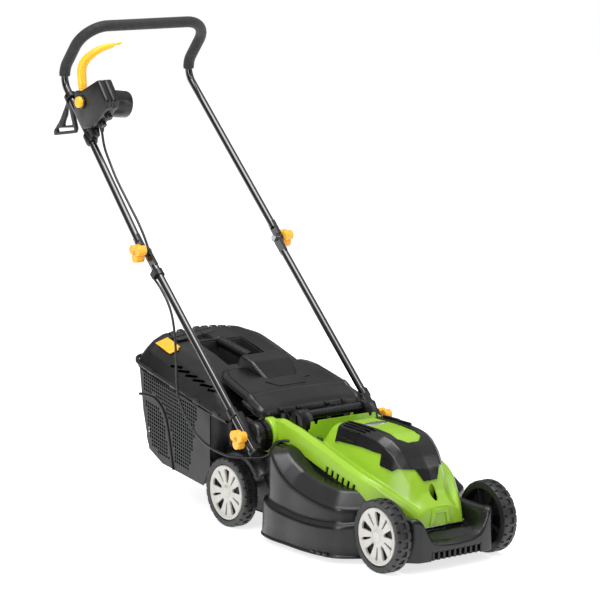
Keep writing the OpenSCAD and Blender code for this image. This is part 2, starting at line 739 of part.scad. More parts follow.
module upper_path(d, extra = 0) {
    start = [-upper_x, mid_y + 22, mid_z + 22] - extra * bend_dir_in;
    bend = [-bend_v[0], bend_v[1], bend_v[2]];
    corner = [-bar_v[0], bar_v[1], bar_v[2]];
    sweep(bent_line(both_ends([start, bend, corner]), [0, bend_r, corner_r, corner_r, bend_r, 0]), d, 24);
}

module upper_tube() color(black) place() difference() {
    union() {
        difference() {
            upper_path(tube_d);
            upper_path(tube_d - 2 * tube_t, 5);
        }
        both() {
            on_upper(0) block([-upper_x - tab_t / 2, 7, -tab_in], [-upper_x + tab_t / 2, 44, tab_in]);
            bar_x(-upper_x - tab_t / 2, -upper_x + tab_t / 2, mid_y, mid_z, tab_w);
        }
    }
    both() bar_x(-upper_x - 20, -upper_x + 20, mid_y, mid_z, bolt_d + 2 * fit_gap);
}

module grip_path(d, extra = 0) {
    v = bend_mid + [0, 0, bend_r * tan(turn(bend_dir_in, bend_dir_out) / 4)];
    start = [-bend_mid[0], bend_mid[1], bend_mid[2] - 1 - extra];
    bend = [-v[0], v[1], v[2]];
    corner = [-bar_v[0], bar_v[1], bar_v[2]];
    sweep(bent_line(both_ends([start, bend, corner]), [0, bend_r - 2, corner_r, corner_r, bend_r - 2, 0]), d, 24);
}

module foam_grip() color("#262628") place() difference() {
    grip_path(grip_d);
    grip_path(tube_d + 1, 5);
}

// A slice of the switch case between x0 and x1, and of the room inside it
module case_slice(x0, x1) across(x0, x1) polygon(case_plan);

module case_room(x0, x1) across(x0, x1) polygon(room_plan);

// Ear that holds one end of the lever's pin
module lever_ear(x0, x1) bar_x(x0, x1, lever_yz[0], lever_yz[1], 22);

// The middle of the right-hand upper tube at distance s above the folding joint
function tube_at(s) = [-upper_x - s * bend_dir_in[0], mid_y + s * bend_dir_in[1], mid_z + s * bend_dir_in[2]];

module switch_case_outer() color(black) place() difference() {
    union() {
        case_slice(box_x - 20, box_x);
        lever_ear(box_x - 20, box_x - 6.5);
        bar_x(box_x - 24, box_x - 19, button_yz[0], button_yz[1], 34);
    }
    case_room(box_x - 17, box_x + 1);
    bar_x(box_x - 30, box_x, button_yz[0], button_yz[1], 24 + 2 * mate_gap);
    bar_x(box_x - 6.5, box_x + 1, lever_yz[0], lever_yz[1], 90);
    bar_x(box_x - 17, box_x, lever_yz[0], lever_yz[1], lever_pin_d);
}

module switch_case_inner() color(black) place() difference() {
    union() {
        case_slice(box_x + 0.05, box_x + 20);
        // foot that clamps round the tube
        rod(tube_at(334), tube_at(356), tube_d + 10);
        block([box_x + 0.05, 1071, 838], [box_x + 17, 1093, 862]);
        lever_ear(box_x + 6.5, box_x + 20);
    }
    case_room(box_x - 1, box_x + 17);
    rod(tube_at(300), tube_at(400), tube_d + 0.4);
    rod(gland_top, gland_end, gland_d);
    bar_x(box_x - 1, box_x + 6.5, lever_yz[0], lever_yz[1], 90);
    bar_x(box_x, box_x + 17, lever_yz[0], lever_yz[1], lever_pin_d);
    bar_x(box_x + 12, box_x + 30, shroud_yz[0], shroud_yz[1], 40);
}

// Places its children on the axis of the plug's shroud, which tips a little downwards
module at_plug() place() translate([box_x + 24, shroud_yz[0], shroud_yz[1]]) rotate([0, 97, 0]) children();

module plug_shroud() color(black) at_plug() difference() {
    union() {
        cylinder(r = shroud_r, h = 46);
        translate([0, 0, -12]) cylinder(r = 17, h = 13);
    }
    translate([0, 0, 6]) cylinder(r = shroud_r - 3.5, h = 60);
}

module plug_pins() color("#c9a24a") at_plug()
    for (y = [-9, 9]) translate([0, y, 6]) cylinder(d = 5, h = 22);

module switch_unit() color("#4d4d50") place() block([box_x - 10, 1046, 886], [box_x + 10, 1078, 934]);

module cable_gland() color(black) place() difference() {
    rod(gland_top, gland_end, gland_d);
    rod(gland_top + 0.2 * (gland_top - gland_end), gland_end - 0.2 * (gland_top - gland_end), cable_d);
}

module cable_upper() color("#1e1e20") place() sweep(upper_route, cable_d);

// ---------------------------------------------------------------- lever, button, hook, knobs

lever_path = [
    [-185, lever_yz[0], lever_yz[1]], [-185, 1128, 1000], [-176, 1098, 1040], [-140, 1078, 1058], [-106, 1072, 1058]
];

module bail_lever() color(yellow) place() {
    difference() {
        bar_x(box_x - 6, box_x + 6, lever_yz[0], lever_yz[1], 20);
        bar_x(box_x - 10, box_x + 10, lever_yz[0], lever_yz[1], lever_pin_d + 2 * fit_gap);
    }
    sweep(bent_line(concat([lever_path[0] + [0, 0.8, 8]], [for (k = [1:4]) lever_path[k]]), [0, 20, 20, 18, 0]), 12, 16);
}

module lever_pin() color(steel) place() bar_x(box_x - 17, box_x + 17, lever_yz[0], lever_yz[1], lever_pin_d);

module lock_button() color(yellow) place() {
    bar_x(box_x - 29, box_x - 12, button_yz[0], button_yz[1], 24);
    bar_x(box_x - 16, box_x - 12, button_yz[0], button_yz[1], 28);
}

// Loop on the tube that takes the strain of the mains lead
module cord_hook() color(black) place() difference() {
    union() {
        translate([-182.6, hook_y, hook_z]) rotate([-45, 0, 0]) cylinder(h = 14, d = 34, center = true);
        across(-186, -179) polygon([
            [hook_y - 13, hook_z - 12], [hook_y + 13, hook_z - 10], [hook_y + hook_reach, hook_z - 88],
            [hook_y + 72, hook_z - 98], [hook_y - 22, hook_z - 84], [hook_y - 28, hook_z - 74]
        ]);
    }
    translate([-182.6, hook_y, hook_z]) rotate([-45, 0, 0]) cylinder(h = 80, d = tube_d + 4, center = true);
    across(-200, -160) polygon([[hook_y - 12, hook_z - 68], [hook_y + 4, hook_z - 24], [hook_y + 14, hook_z - 24], [hook_y + 42, hook_z - 72]]);
    across(-200, -160) polygon([[hook_y - 20, hook_z - 78], [hook_y + 60, hook_z - 90], [hook_y + 56, hook_z - 80], [hook_y - 18, hook_z - 72]]);
}

// Three-lobed wing knob between x0 (inner) and x1 (outer) on a bolt at (y, z)
module knob(x0, x1, y, z) color(yellow) place() difference() {
    union() {
        bar_x(x0, x1, y, z, 26);
        for (a = [90, 210, 330]) {
            bar_x(x0 - 4, x1 + 2, y + 16 * cos(a), z + 16 * sin(a), 15);
            bar_x(x0 - 4, x1 + 2, y + 10 * cos(a), z + 10 * sin(a), 17);
        }
    }
    bar_x(x0 + 1, x1 - 1, y, z, bolt_d + 2 * fit_gap);
}

module knob_pivot_right() knob(-lower_x - tube_d / 2 - mate_gap, -214, pivot_y, pivot_z);
module knob_pivot_left() mirror([1, 0, 0]) knob_pivot_right();
module knob_mid_right() knob(-upper_x - tab_t / 2 - mate_gap, -224, mid_y, mid_z);
module knob_mid_left() mirror([1, 0, 0]) knob_mid_right();

module lower_tube_right() lower_tube(1);
module lower_tube_left() lower_tube(-1);
module pivot_plate_right() pivot_plate(1);
module pivot_plate_left() pivot_plate(-1);
module pivot_hub_right() pivot_hub(1);
module pivot_hub_left() pivot_hub(-1);

deck();
motor_cowl();
cowl_trim();
badge_plate();
carry_handle();
motor_can();
motor_stator();
pivot_hub_right();
pivot_hub_left();
pivot_bolts();
cowl_screws();
flap_pin();
flap_springs();
cable_tail();
front_axle();
front_wheel_nuts();
rear_axle();
rear_wheel_nuts();
wheel_front_right();
wheel_front_left();
wheel_rear_right();
wheel_rear_left();
hub_cap_front_right();
hub_cap_front_left();
hub_cap_rear_right();
hub_cap_rear_left();
motor_rotor();
blade_carrier();
blade();
blade_bolt();
rear_flap();
grass_basket();
grass_lid();
grass_handle();
grass_inset();
lower_tube_right();
lower_tube_left();
pivot_plate_right();
pivot_plate_left();
mid_bolts();
cable_clip();
cable_lower();
upper_tube();
foam_grip();
switch_case_outer();
switch_case_inner();
plug_shroud();
plug_pins();
switch_unit();
cable_gland();
cable_upper();
bail_lever();
lever_pin();
lock_button();
cord_hook();
knob_pivot_right();
knob_pivot_left();
knob_mid_right();
knob_mid_left();
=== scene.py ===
"""Push lawn mower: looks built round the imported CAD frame.

Lengths below are millimetres in the drawing frame of the part: X across (the right-hand side of
the person who pushes is -X), Y = 0 at the front axle and growing rearwards, Z = 0 on the ground.
pt() turns them into the frame's metres.
"""
import math

import bpy
import bmesh
from mathutils import Matrix, Vector, geometry


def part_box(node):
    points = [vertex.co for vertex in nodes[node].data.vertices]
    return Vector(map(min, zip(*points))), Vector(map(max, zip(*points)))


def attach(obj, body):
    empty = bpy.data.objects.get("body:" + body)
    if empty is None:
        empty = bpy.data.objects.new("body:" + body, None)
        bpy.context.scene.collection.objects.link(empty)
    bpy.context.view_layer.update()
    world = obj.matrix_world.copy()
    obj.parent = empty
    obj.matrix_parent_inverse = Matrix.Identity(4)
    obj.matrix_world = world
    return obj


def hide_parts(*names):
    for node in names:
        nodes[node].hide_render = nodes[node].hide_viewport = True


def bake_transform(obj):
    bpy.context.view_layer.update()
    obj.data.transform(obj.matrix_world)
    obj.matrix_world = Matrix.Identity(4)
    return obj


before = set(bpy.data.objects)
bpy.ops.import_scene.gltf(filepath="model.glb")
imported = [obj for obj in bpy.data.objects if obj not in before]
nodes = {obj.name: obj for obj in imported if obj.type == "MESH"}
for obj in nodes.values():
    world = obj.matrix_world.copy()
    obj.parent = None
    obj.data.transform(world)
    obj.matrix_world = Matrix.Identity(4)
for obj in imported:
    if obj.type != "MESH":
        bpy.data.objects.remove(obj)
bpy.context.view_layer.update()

axle_low, axle_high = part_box("front_axle")
AXLE_Y = (axle_low[1] + axle_high[1]) / 2
MM = 0.001

# Driving places of the part
WHEEL_R = 80
REAR_AXLE_Y = 515
FRONT_TRACK, REAR_TRACK = 331, 395
PIVOT_Y, PIVOT_Z = 448, 218  # the handle's ratchet hubs
FOLD_Y, FOLD_Z = 846, 590  # the handle's folding joint
LEVER_Y, LEVER_Z = 1120, 936
BUTTON_Y, BUTTON_Z = 1096, 921
BOX_X = -185  # middle of the switch box


def pt(x, y, z):
    return Vector((x * MM, y * MM + AXLE_Y, z * MM))


def lerp(a, b, t):
    return a + (b - a) * t


def table(rows, y):
    """The row of numbers at y, between the rows (y, numbers...) of a table sorted by y."""
    if y <= rows[0][0]:
        return rows[0][1:]
    for a, b in zip(rows, rows[1:]):
        if y <= b[0]:
            t = (y - a[0]) / (b[0] - a[0])
            return [lerp(p, q, t) for p, q in zip(a[1:], b[1:])]
    return rows[-1][1:]


# ------------------------------------------------------------------ materials


def srgb(*c):
    return [((v / 255 + 0.055) / 1.055) ** 2.4 if v > 10 else v / 255 / 12.92 for v in c] + [1.0]


class Nodes:
    """A short way to write a material's node tree."""

    def __init__(self, name):
        self.mat = bpy.data.materials.new(name)
        self.mat.use_nodes = True
        self.tree = self.mat.node_tree
        self.bsdf = self.tree.nodes["Principled BSDF"]
        self.coords = self.add("ShaderNodeTexCoord").outputs["Object"]

    def add(self, kind, **props):
        n = self.tree.nodes.new(kind)
        for k, v in props.items():
            setattr(n, k, v)
        return n

    def link(self, a, b):
        self.tree.links.new(a, b)

    def drive(self, socket, source):
        self.link(source, self.bsdf.inputs[socket])

    def fix(self, socket, value):
        self.bsdf.inputs[socket].default_value = value

    def noise(self, scale, detail=3.0, stretch=None):
        n = self.add("ShaderNodeTexNoise")
        n.inputs["Scale"].default_value = scale
        n.inputs["Detail"].default_value = detail
        source = self.coords
        if stretch:
            m = self.add("ShaderNodeMapping")
            m.inputs["Scale"].default_value = stretch
            self.link(source, m.inputs["Vector"])
            source = m.outputs["Vector"]
        self.link(source, n.inputs["Vector"])
        return n.outputs["Fac"]

    def ramp(self, fac, stops):
        r = self.add("ShaderNodeValToRGB")
        while len(r.color_ramp.elements) < len(stops):
            r.color_ramp.elements.new(0.5)
        for e, (at, colour) in zip(r.color_ramp.elements, stops):
            e.position = at
            e.color = colour
        self.link(fac, r.inputs["Fac"])
        return r.outputs["Color"]

    def spread(self, fac, low, high):
        m = self.add("ShaderNodeMapRange")
        m.inputs["From Min"].default_value = 0.3
        m.inputs["From Max"].default_value = 0.7
        m.inputs["To Min"].default_value = low
        m.inputs["To Max"].default_value = high
        self.link(fac, m.inputs["Value"])
        return m.outputs["Result"]

    def bump(self, height, strength, distance, after=None):
        b = self.add("ShaderNodeBump")
        b.inputs["Strength"].default_value = strength
        b.inputs["Distance"].default_value = distance
        self.link(height, b.inputs["Height"])
        if after:
            self.link(after, b.inputs["Normal"])
        return b.outputs["Normal"]


def shade(c, k):
    return [min(1.0, v * k) for v in c[:3]] + [1.0]


def plastic(name, colour, rough, grain, depth, spread=0.12, vary=0.12, coat=0.0, gloss=0.5):
    """Moulded plastic: a colour that drifts a little, a fine spark-eroded grain and soft gloss."""
    m = Nodes(name)
    stops = [(0.25, shade(colour, 1 - vary)), (0.5, colour), (0.8, shade(colour, 1 + vary))]
    m.drive("Base Color", m.ramp(m.noise(9.0, 4.0), stops))
    m.drive("Roughness", m.spread(m.noise(26.0, 5.0), rough - spread / 2, rough + spread / 2))
    fine = m.bump(m.noise(grain, 2.0), 0.35, depth)
    m.drive("Normal", m.bump(m.noise(7.0, 1.0), 0.12, 0.0008, fine))
    m.fix("Coat Weight", coat)
    m.fix("Coat Roughness", 0.12)
    m.fix("Specular IOR Level", gloss)
    return m.mat


def enamel(name, colour, rough):
    """Baked enamel on a steel tube: smooth, under a clear coat."""
    m = Nodes(name)
    m.drive("Base Color", m.ramp(m.noise(30.0), [(0.3, shade(colour, 0.85)), (0.7, shade(colour, 1.15))]))
    m.drive("Roughness", m.spread(m.noise(60.0, 4.0), rough * 0.8, rough * 1.3))
    m.drive("Normal", m.bump(m.noise(40.0, 1.0), 0.04, 0.0002))
    m.fix("Coat Weight", 0.8)
    m.fix("Coat Roughness", 0.06)
    return m.mat


def metal(name, colour, rough, stretch=(1.0, 1.0, 1.0)):
    """Bare or plated metal. stretch draws its scratches out into brush marks."""
    m = Nodes(name)
    m.fix("Metallic", 1.0)
    m.drive("Base Color", m.ramp(m.noise(80.0), [(0.3, shade(colour, 0.8)), (0.7, colour)]))
    brushed = m.noise(700.0, 2.0, stretch)
    m.drive("Roughness", m.spread(brushed, rough * 0.8, rough * 1.25))
    m.drive("Normal", m.bump(brushed, 0.2, 0.0001))
    return m.mat


def foam_material(name):
    """Closed-cell foam sleeve: matte, with fine pores."""
    m = Nodes(name)
    cells = m.add("ShaderNodeTexVoronoi")
    cells.inputs["Scale"].default_value = 1100.0
    m.link(m.coords, cells.inputs["Vector"])
    m.drive("Base Color", m.ramp(m.noise(22.0, 4.0), [(0.3, srgb(15, 15, 16)), (0.7, srgb(23, 23, 24))]))
    m.drive("Roughness", m.spread(m.noise(90.0), 0.6, 0.78))
    pores = m.bump(cells.outputs["Distance"], 0.4, 0.0003)
    m.drive("Normal", m.bump(m.noise(300.0, 3.0), 0.25, 0.0004, pores))
    m.fix("Sheen Weight", 0.12)
    return m.mat


BLACK = plastic("black_moulded", srgb(13, 13, 14), 0.30, 800.0, 0.00012, gloss=0.42)
DARK = plastic("dark_moulded", srgb(15, 15, 16), 0.32, 700.0, 0.00014, gloss=0.4)
INSIDE = plastic("inner_moulded", srgb(14, 14, 15), 0.6, 500.0, 0.0002)
LIME = plastic("lime_moulded", srgb(140, 182, 36), 0.34, 1000.0, 0.0001, vary=0.05, coat=0.12)
YELLOW = plastic("yellow_moulded", srgb(248, 186, 30), 0.34, 1000.0, 0.0001, vary=0.05, coat=0.15)
ORANGE = plastic("amber_moulded", srgb(244, 174, 48), 0.36, 1000.0, 0.0001, vary=0.06, coat=0.1)
CAP = plastic("cap_moulded", srgb(184, 182, 175), 0.30, 1200.0, 0.00008, vary=0.04, coat=0.2)
TYRE = plastic("tyre_moulded", srgb(27, 27, 28), 0.46, 420.0, 0.0002, spread=0.16)
TUBE = enamel("black_enamel", srgb(7, 7, 8), 0.13)
FOAM = foam_material("foam_sleeve")
SHEATH = plastic("cable_sheath", srgb(18, 18, 19), 0.34, 600.0, 0.0002)
STEEL = metal("zinc_steel", srgb(190, 192, 196), 0.32)
GREY_WIRE = metal("blackened_steel", srgb(52, 52, 55), 0.38)
BLADE = metal("ground_steel", srgb(150, 152, 156), 0.38, (1.0, 12.0, 12.0))
BRASS = metal("plated_brass", srgb(200, 165, 95), 0.25)
SILVER = metal("badge_silver", srgb(205, 208, 214), 0.3, (1.0, 8.0, 8.0))
COPPER = metal("winding_copper", srgb(150, 92, 50), 0.4, (1.0, 1.0, 14.0))

# ------------------------------------------------------------------ mesh tools


def to_object(name, bm):
    mesh = bpy.data.meshes.new(name)
    bm.to_mesh(mesh)
    bm.free()
    obj = bpy.data.objects.new(name, mesh)
    bpy.context.scene.collection.objects.link(obj)
    return obj


def mesh_object(name, verts, faces, weld=True):
    bm = bmesh.new()
    made = [bm.verts.new(v) for v in verts]
    for f in faces:
        if len(set(f)) >= 3:
            bm.faces.new([made[i] for i in f])
    if weld:
        bmesh.ops.remove_doubles(bm, verts=bm.verts, dist=1e-6)
        bmesh.ops.dissolve_degenerate(bm, edges=bm.edges, dist=1e-7)
    bmesh.ops.recalc_face_normals(bm, faces=bm.faces)
    return to_object(name, bm)


def apply_modifiers(obj):
    graph = bpy.context.evaluated_depsgraph_get()
    mesh = bpy.data.meshes.new_from_object(obj.evaluated_get(graph))
    obj.modifiers.clear()
    old = obj.data
    obj.data = mesh
    bpy.data.meshes.remove(old)


def modify(obj, kind, **props):
    mod = obj.modifiers.new(kind, kind)
    for k, v in props.items():
        setattr(mod, k, v)
    apply_modifiers(obj)
    return obj


def bevel(obj, width, segments=2, angle=30):
    return modify(obj, "BEVEL", width=width * MM, segments=segments, limit_method="ANGLE",
                  angle_limit=math.radians(angle), harden_normals=False)


def boolean(obj, other, op="DIFFERENCE"):
    modify(obj, "BOOLEAN", operation=op, solver="EXACT", object=other)
    bpy.data.objects.remove(other, do_unlink=True)
    return obj


def join(name, objs):
    bm = bmesh.new()
    for o in objs:
        bm.from_mesh(o.data)
        bpy.data.objects.remove(o, do_unlink=True)
    return to_object(name, bm)


def flip_x(obj):
    """The mirror image of obj across the middle plane, as a new object."""
    bm = bmesh.new()
    bm.from_mesh(obj.data)
    bmesh.ops.scale(bm, vec=(-1, 1, 1), verts=bm.verts)
    bmesh.ops.reverse_faces(bm, faces=bm.faces)
    return to_object(obj.name + "_mirror", bm)


def with_mirror(obj):
    return join(obj.name, [obj, flip_x(obj)])


def mirrored(p):
    return Vector((-p.x, p.y, p.z))


def turns(count):
    """The angles of count even steps round a circle."""
    return [2 * math.pi * k / count for k in range(count)]


def finish_piece(obj, body, material, replaced=(), sharp=32, blend=None):
    """Names the piece's material, body and CAD nodes. blend's other body, start and end are not used: if blend is
    given at all, the piece is baked in place instead of hung under body.
    """
    mesh = obj.data
    mesh.materials.clear()
    mesh.materials.append(material)
    mesh.polygons.foreach_set("use_smooth", [True] * len(mesh.polygons))
    mesh.set_sharp_from_angle(angle=math.radians(sharp))
    if blend:
        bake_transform(obj)
    else:
        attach(obj, body)
    if replaced:
        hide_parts(*replaced)
    return obj


def deck_piece(obj, material=None, sharp=32):
    finish_piece(obj, "chassis", material or BLACK, ["deck"], sharp)


def cowl_piece(obj, sharp=32):
    finish_piece(obj, "chassis", LIME, ["motor_cowl"], sharp)


def trim_piece(obj, node, sharp=32):
    finish_piece(obj, "chassis", BLACK, [node], sharp)


def flap_piece(obj, material=None, sharp=32):
    finish_piece(obj, "flap_unit", material or DARK, ["rear_flap"], sharp)


def basket_piece(obj, material=None, sharp=32):
    finish_piece(obj, "grass_box", material or DARK, ["grass_basket"], sharp)


def lid_piece(obj, material=None, sharp=32):
    finish_piece(obj, "grass_box", material or DARK, ["grass_lid"], sharp)


def switch_piece(obj, node):
    finish_piece(obj, "handle_upper", BLACK, [node])


def round_corners(points, radius, steps=4, closed=False):
    """The polyline with a short curve in place of each corner; always steps + 1 points a corner."""
    n = len(points)
    out = []
    for i, p in enumerate(points):
        if not closed and i in (0, n - 1):
            out.append(p.copy())
            continue
        a, b = points[i - 1], points[(i + 1) % n]
        la, lb = (a - p).length, (b - p).length
        d = min(radius, 0.45 * la, 0.45 * lb)
        start = p + (a - p) * (d / la) if la > 1e-9 else p
        end = p + (b - p) * (d / lb) if lb > 1e-9 else p
        for k in range(steps + 1):
            t = k / steps
            out.append(start * (1 - t) ** 2 + p * (2 * t * (1 - t)) + end * t * t)
    return out


def catmull(p0, p1, p2, p3, t):
    """The point at t between p1 and p2 on the Catmull-Rom curve through all four."""
    return 0.5 * (2 * p1 + (p2 - p0) * t + (2 * p0 - 5 * p1 + 4 * p2 - p3) * t * t
                  + (3 * p1 - p0 - 3 * p2 + p3) * t ** 3)


def smooth_line(points, per=6):
    """An open smooth curve through the points."""
    out = []
    n = len(points)
    for i in range(n - 1):
        near = points[max(i - 1, 0)], points[i], points[i + 1], points[min(i + 2, n - 1)]
        out += [catmull(*near, k / per) for k in range(per)]
    out.append(points[-1].copy())
    return out


def smooth_loop(points, per=8):
    """A closed smooth curve through the points."""
    n = len(points)
    out = []
    for i in range(n):
        near = points[i - 1], points[i], points[(i + 1) % n], points[(i + 2) % n]
        out += [catmull(*near, k / per) for k in range(per)]
    return out


def grid_faces(rows, cols, close_rows=False, close_cols=False):
    faces = []
    for i in range(rows if close_rows else rows - 1):
        for j in range(cols if close_cols else cols - 1):
            i2, j2 = (i + 1) % rows, (j + 1) % cols
            faces.append((i * cols + j, i2 * cols + j, i2 * cols + j2, i * cols + j2))
    return faces


def patch(name, grid, across=5.0, along=5.0, close_across=False, close_along=False, steps=3):
    """A surface through a grid of control points (rows of mm vectors) with rounded ridges."""
    rows = [round_corners(r, across, steps, close_across) for r in grid]
    columns = [round_corners([r[j] for r in rows], along, steps, close_along)
               for j in range(len(rows[0]))]
    n, m = len(columns[0]), len(columns)
    verts = [pt(*columns[j][i]) for i in range(n) for j in range(m)]
    return mesh_object(name, verts, grid_faces(n, m, close_along, close_across))


def shell(obj, thickness, outward=False):
    """Gives a sheet a wall. Its normals decide which side the wall grows on."""
    return modify(obj, "SOLIDIFY", thickness=thickness * MM, offset=1.0 if outward else -1.0,
                  use_even_offset=False)


def prism(name, outline, axis, low, high):
    """A straight solid whose outline is drawn in the plane across axis, as (y, z), (x, z) or (x, y)."""
    def place(p, t):
        return {"x": (t, p[0], p[1]), "y": (p[0], t, p[1]), "z": (p[0], p[1], t)}[axis]
    n = len(outline)
    verts = [pt(*place(p, t)) for t in (low, high) for p in outline]
    faces = [tuple(range(n)), tuple(range(2 * n - 1, n - 1, -1))]
    faces += [(i, (i + 1) % n, n + (i + 1) % n, n + i) for i in range(n)]
    return mesh_object(name, verts, faces)


def block(name, a, b):
    return prism(name, [(a[0], a[1]), (b[0], a[1]), (b[0], b[1]), (a[0], b[1])], "z", a[2], b[2])


def moved_block(name, size, centre, turn):
    """A box of the given size, turned by the matrix turn about its centre."""
    verts = [pt(*centre) + turn @ Vector([s * k * MM / 2 for s, k in zip(size, signs)])
             for signs in [(x, y, z) for x in (-1, 1) for y in (-1, 1) for z in (-1, 1)]]
    faces = [(0, 1, 3, 2), (4, 6, 7, 5), (0, 4, 5, 1), (2, 3, 7, 6), (0, 2, 6, 4), (1, 5, 7, 3)]
    return mesh_object(name, verts, faces)


def rotation(degrees, axis):
    return Matrix.Rotation(math.radians(degrees), 3, axis)


def facing(along, across):
    """The turn whose local Y runs along and whose local X lies nearest to across."""
    y = Vector(along).normalized()
    z = Vector(across).cross(y).normalized()
    return Matrix((y.cross(z), y, z)).transposed()


def tube(name, path, radius, sides=20, caps=True, flat=1.0):
    """A round bar along path. radius is one number or one for each point; flat squashes it."""
    n = len(path)
    radii = radius if isinstance(radius, list) else [radius] * n
    normal = None
    verts = []
    for i in range(n):
        t = (path[min(i + 1, n - 1)] - path[max(i - 1, 0)]).normalized()
        if normal is None:
            normal = t.cross(Vector((1, 0, 0)) if abs(t.x) < 0.8 else Vector((0, 0, 1))).normalized()
        normal = (normal - t * normal.dot(t)).normalized()
        side = t.cross(normal)
        for k in range(sides):
            a = 2 * math.pi * k / sides
            verts.append(pt(*(path[i] + radii[i] * (math.cos(a) * normal * flat + math.sin(a) * side))))
    faces = grid_faces(n, sides, close_cols=True)
    if caps:
        faces += [tuple(range(sides - 1, -1, -1)), tuple((n - 1) * sides + k for k in range(sides))]
    return mesh_object(name, verts, faces)


def revolve(name, profile, centre, axis, steps=64, closed=True, wobble=None):
    """Turns a profile of (radius, distance along axis) about the axis through centre."""
    a = Vector(axis).normalized()
    u = a.cross(Vector((0, 0, 1)) if abs(a.z) < 0.9 else Vector((1, 0, 0))).normalized()
    w = a.cross(u)
    verts = []
    for k in range(steps):
        t = 2 * math.pi * k / steps
        for j, (r, h) in enumerate(profile):
            if wobble:
                r, h = wobble(k, j, r, h)
            verts.append(pt(*(Vector(centre) + a * h + r * (math.cos(t) * u + math.sin(t) * w))))
    return mesh_object(name, verts, grid_faces(steps, len(profile), True, closed))


def sheet_with_holes(name, outline, holes, place, thickness):
    """A flat wall with real holes. outline and holes are 2D loops; place() puts a 2D point in space."""
    points, edges = [], []
    for loop in [outline] + holes:
        first = len(points)
        points += [Vector(p) for p in loop]
        edges += [(first + i, first + (i + 1) % len(loop)) for i in range(len(loop))]
    verts, _, faces = geometry.delaunay_2d_cdt(points, edges, [], 1, 1e-5)[:3]
    spans = [(min(p[0] for p in h), max(p[0] for p in h), min(p[1] for p in h), max(p[1] for p in h), h)
             for h in holes]
    solid = []
    for face in faces:
        mid = sum((verts[i] for i in face), Vector((0, 0))) / len(face)
        hollow = any(a < mid.x < b and c < mid.y < d and inside(mid, h) for a, b, c, d, h in spans)
        if not hollow and inside(mid, outline):
            solid.append(face)
    obj = mesh_object(name, [pt(*place(v.x, v.y)) for v in verts], solid, weld=False)
    return modify(obj, "SOLIDIFY", thickness=thickness * MM, offset=0.0)


def inside(p, poly):
    hit = False
    for (x1, y1), (x2, y2) in zip(poly, poly[1:] + poly[:1]):
        if (y1 > p[1]) != (y2 > p[1]) and p[0] < (x2 - x1) * (p[1] - y1) / (y2 - y1) + x1:
            hit = not hit
    return hit


def copy_of(node, name):
    bm = bmesh.new()
    bm.from_mesh(nodes[node].data)
    bmesh.ops.remove_doubles(bm, verts=bm.verts, dist=2e-6)
    return to_object(name, bm)


# ------------------------------------------------------------------ deck

# Plan of the skirt's foot and of the crown's inner edge, right half as (-x, y), front to rear
SKIRT = [(0, 44), (70, 45), (112, 52), (150, 71), (191, 104), (207, 145), (214.5, 200), (214.5, 262),
         (214, 318), (203, 366), (181, 393), (150, 404), (80, 405), (0, 405)]
CROWN = [(0, 140), (45, 140), (75, 140), (98, 148), (112, 164), (119, 185), (122, 215), (122, 262),
         (122, 296), (120, 322), (110, 338), (94, 346), (50, 347), (0, 347)]
# Heights against y: ledge, top of the wall, inner top of the bright band
HEIGHTS = [(30, 91, 115, 150), (65, 91, 116, 151), (108, 84, 117, 152), (150, 81, 121, 154),
           (198, 80, 129, 159.5), (235, 80.5, 136, 166), (263, 82, 143, 172.5), (300, 86, 162, 190),
           (327, 89, 181, 205), (346, 92, 195, 210), (375, 96, 203, 212), (405, 97, 205, 212)]
# Section of the skirt: distance in from the foot, level it belongs to, height above that level
SECTION = [(3.5, "foot", 0), (0, "foot", 1.5), (0.5, "foot", 5), (3.0, "foot", 7), (4.5, "foot", 30),
           (5.5, "ledge", -7), (8.0, "ledge", -0.5), (12, "ledge", 1.5), (16.5, "ledge", 4),
           (18.0, "ledge", 10), (19.5, "wall", -10), (21.0, "wall", 0), (26.0, "wall", 4.5),
           (50, "band", -3.5), (56, "band", -0.5), (64, "band", 0), (92, "band", -1)]
FOOT_Z = 13.0


def deck_shell():
    half = len(SKIRT)
    ring = [(-x, y, -cx, cy) for (x, y), (cx, cy) in zip(SKIRT, CROWN)]
    ring += [(x, y, cx, cy) for (x, y), (cx, cy) in reversed(list(zip(SKIRT, CROWN))[1:half - 1])]
    outer = smooth_loop([Vector((a, b, 0)) for a, b, _, _ in ring])
    inner = smooth_loop([Vector((c, d, 0)) for _, _, c, d in ring])
    grid = []
    for o, i in zip(outer, inner):
        reach = (i - o).length
        step = (i - o) / reach
        row = []
        for depth, level, lift in SECTION:
            p = o + step * min(depth, reach)
            ledge, wall, band = table(HEIGHTS, p.y)
            z = {"foot": FOOT_Z, "ledge": ledge, "wall": wall, "band": band}[level] + lift
            row.append(Vector((p.x, p.y, z)))
        grid.append(row)
    rows = [round_corners(r, 2.4, 2) for r in grid]
    n, m = len(rows), len(rows[0])
    verts = [pt(*rows[i][j]) for i in range(n) for j in range(m)]
    return mesh_object("deck_shell", verts, grid_faces(n, m, close_rows=True))


DECK_WALL = 3.2
deck_piece(shell(deck_shell(), DECK_WALL))

# The rim of the bumper seen from the front, right half as (-x, z, -x at the foot, z of the foot)
RIM = [(0, 61, 0, 42), (30, 62.5, 28, 42), (50, 65, 48, 42), (65, 71, 67, 42), (66.5, 72, 68.5, 24),
       (76, 82, 76, 24), (83, 96, 84, 24), (89, 110, 91, 24), (96, 118, 98, 24), (107, 119.5, 107, 24),
       (114, 117, 114, 24), (117.5, 110, 117, 24)]
BUMPER_SIDE = 117.5
TRAY_SIDE, TRAY_Z = 86, 77


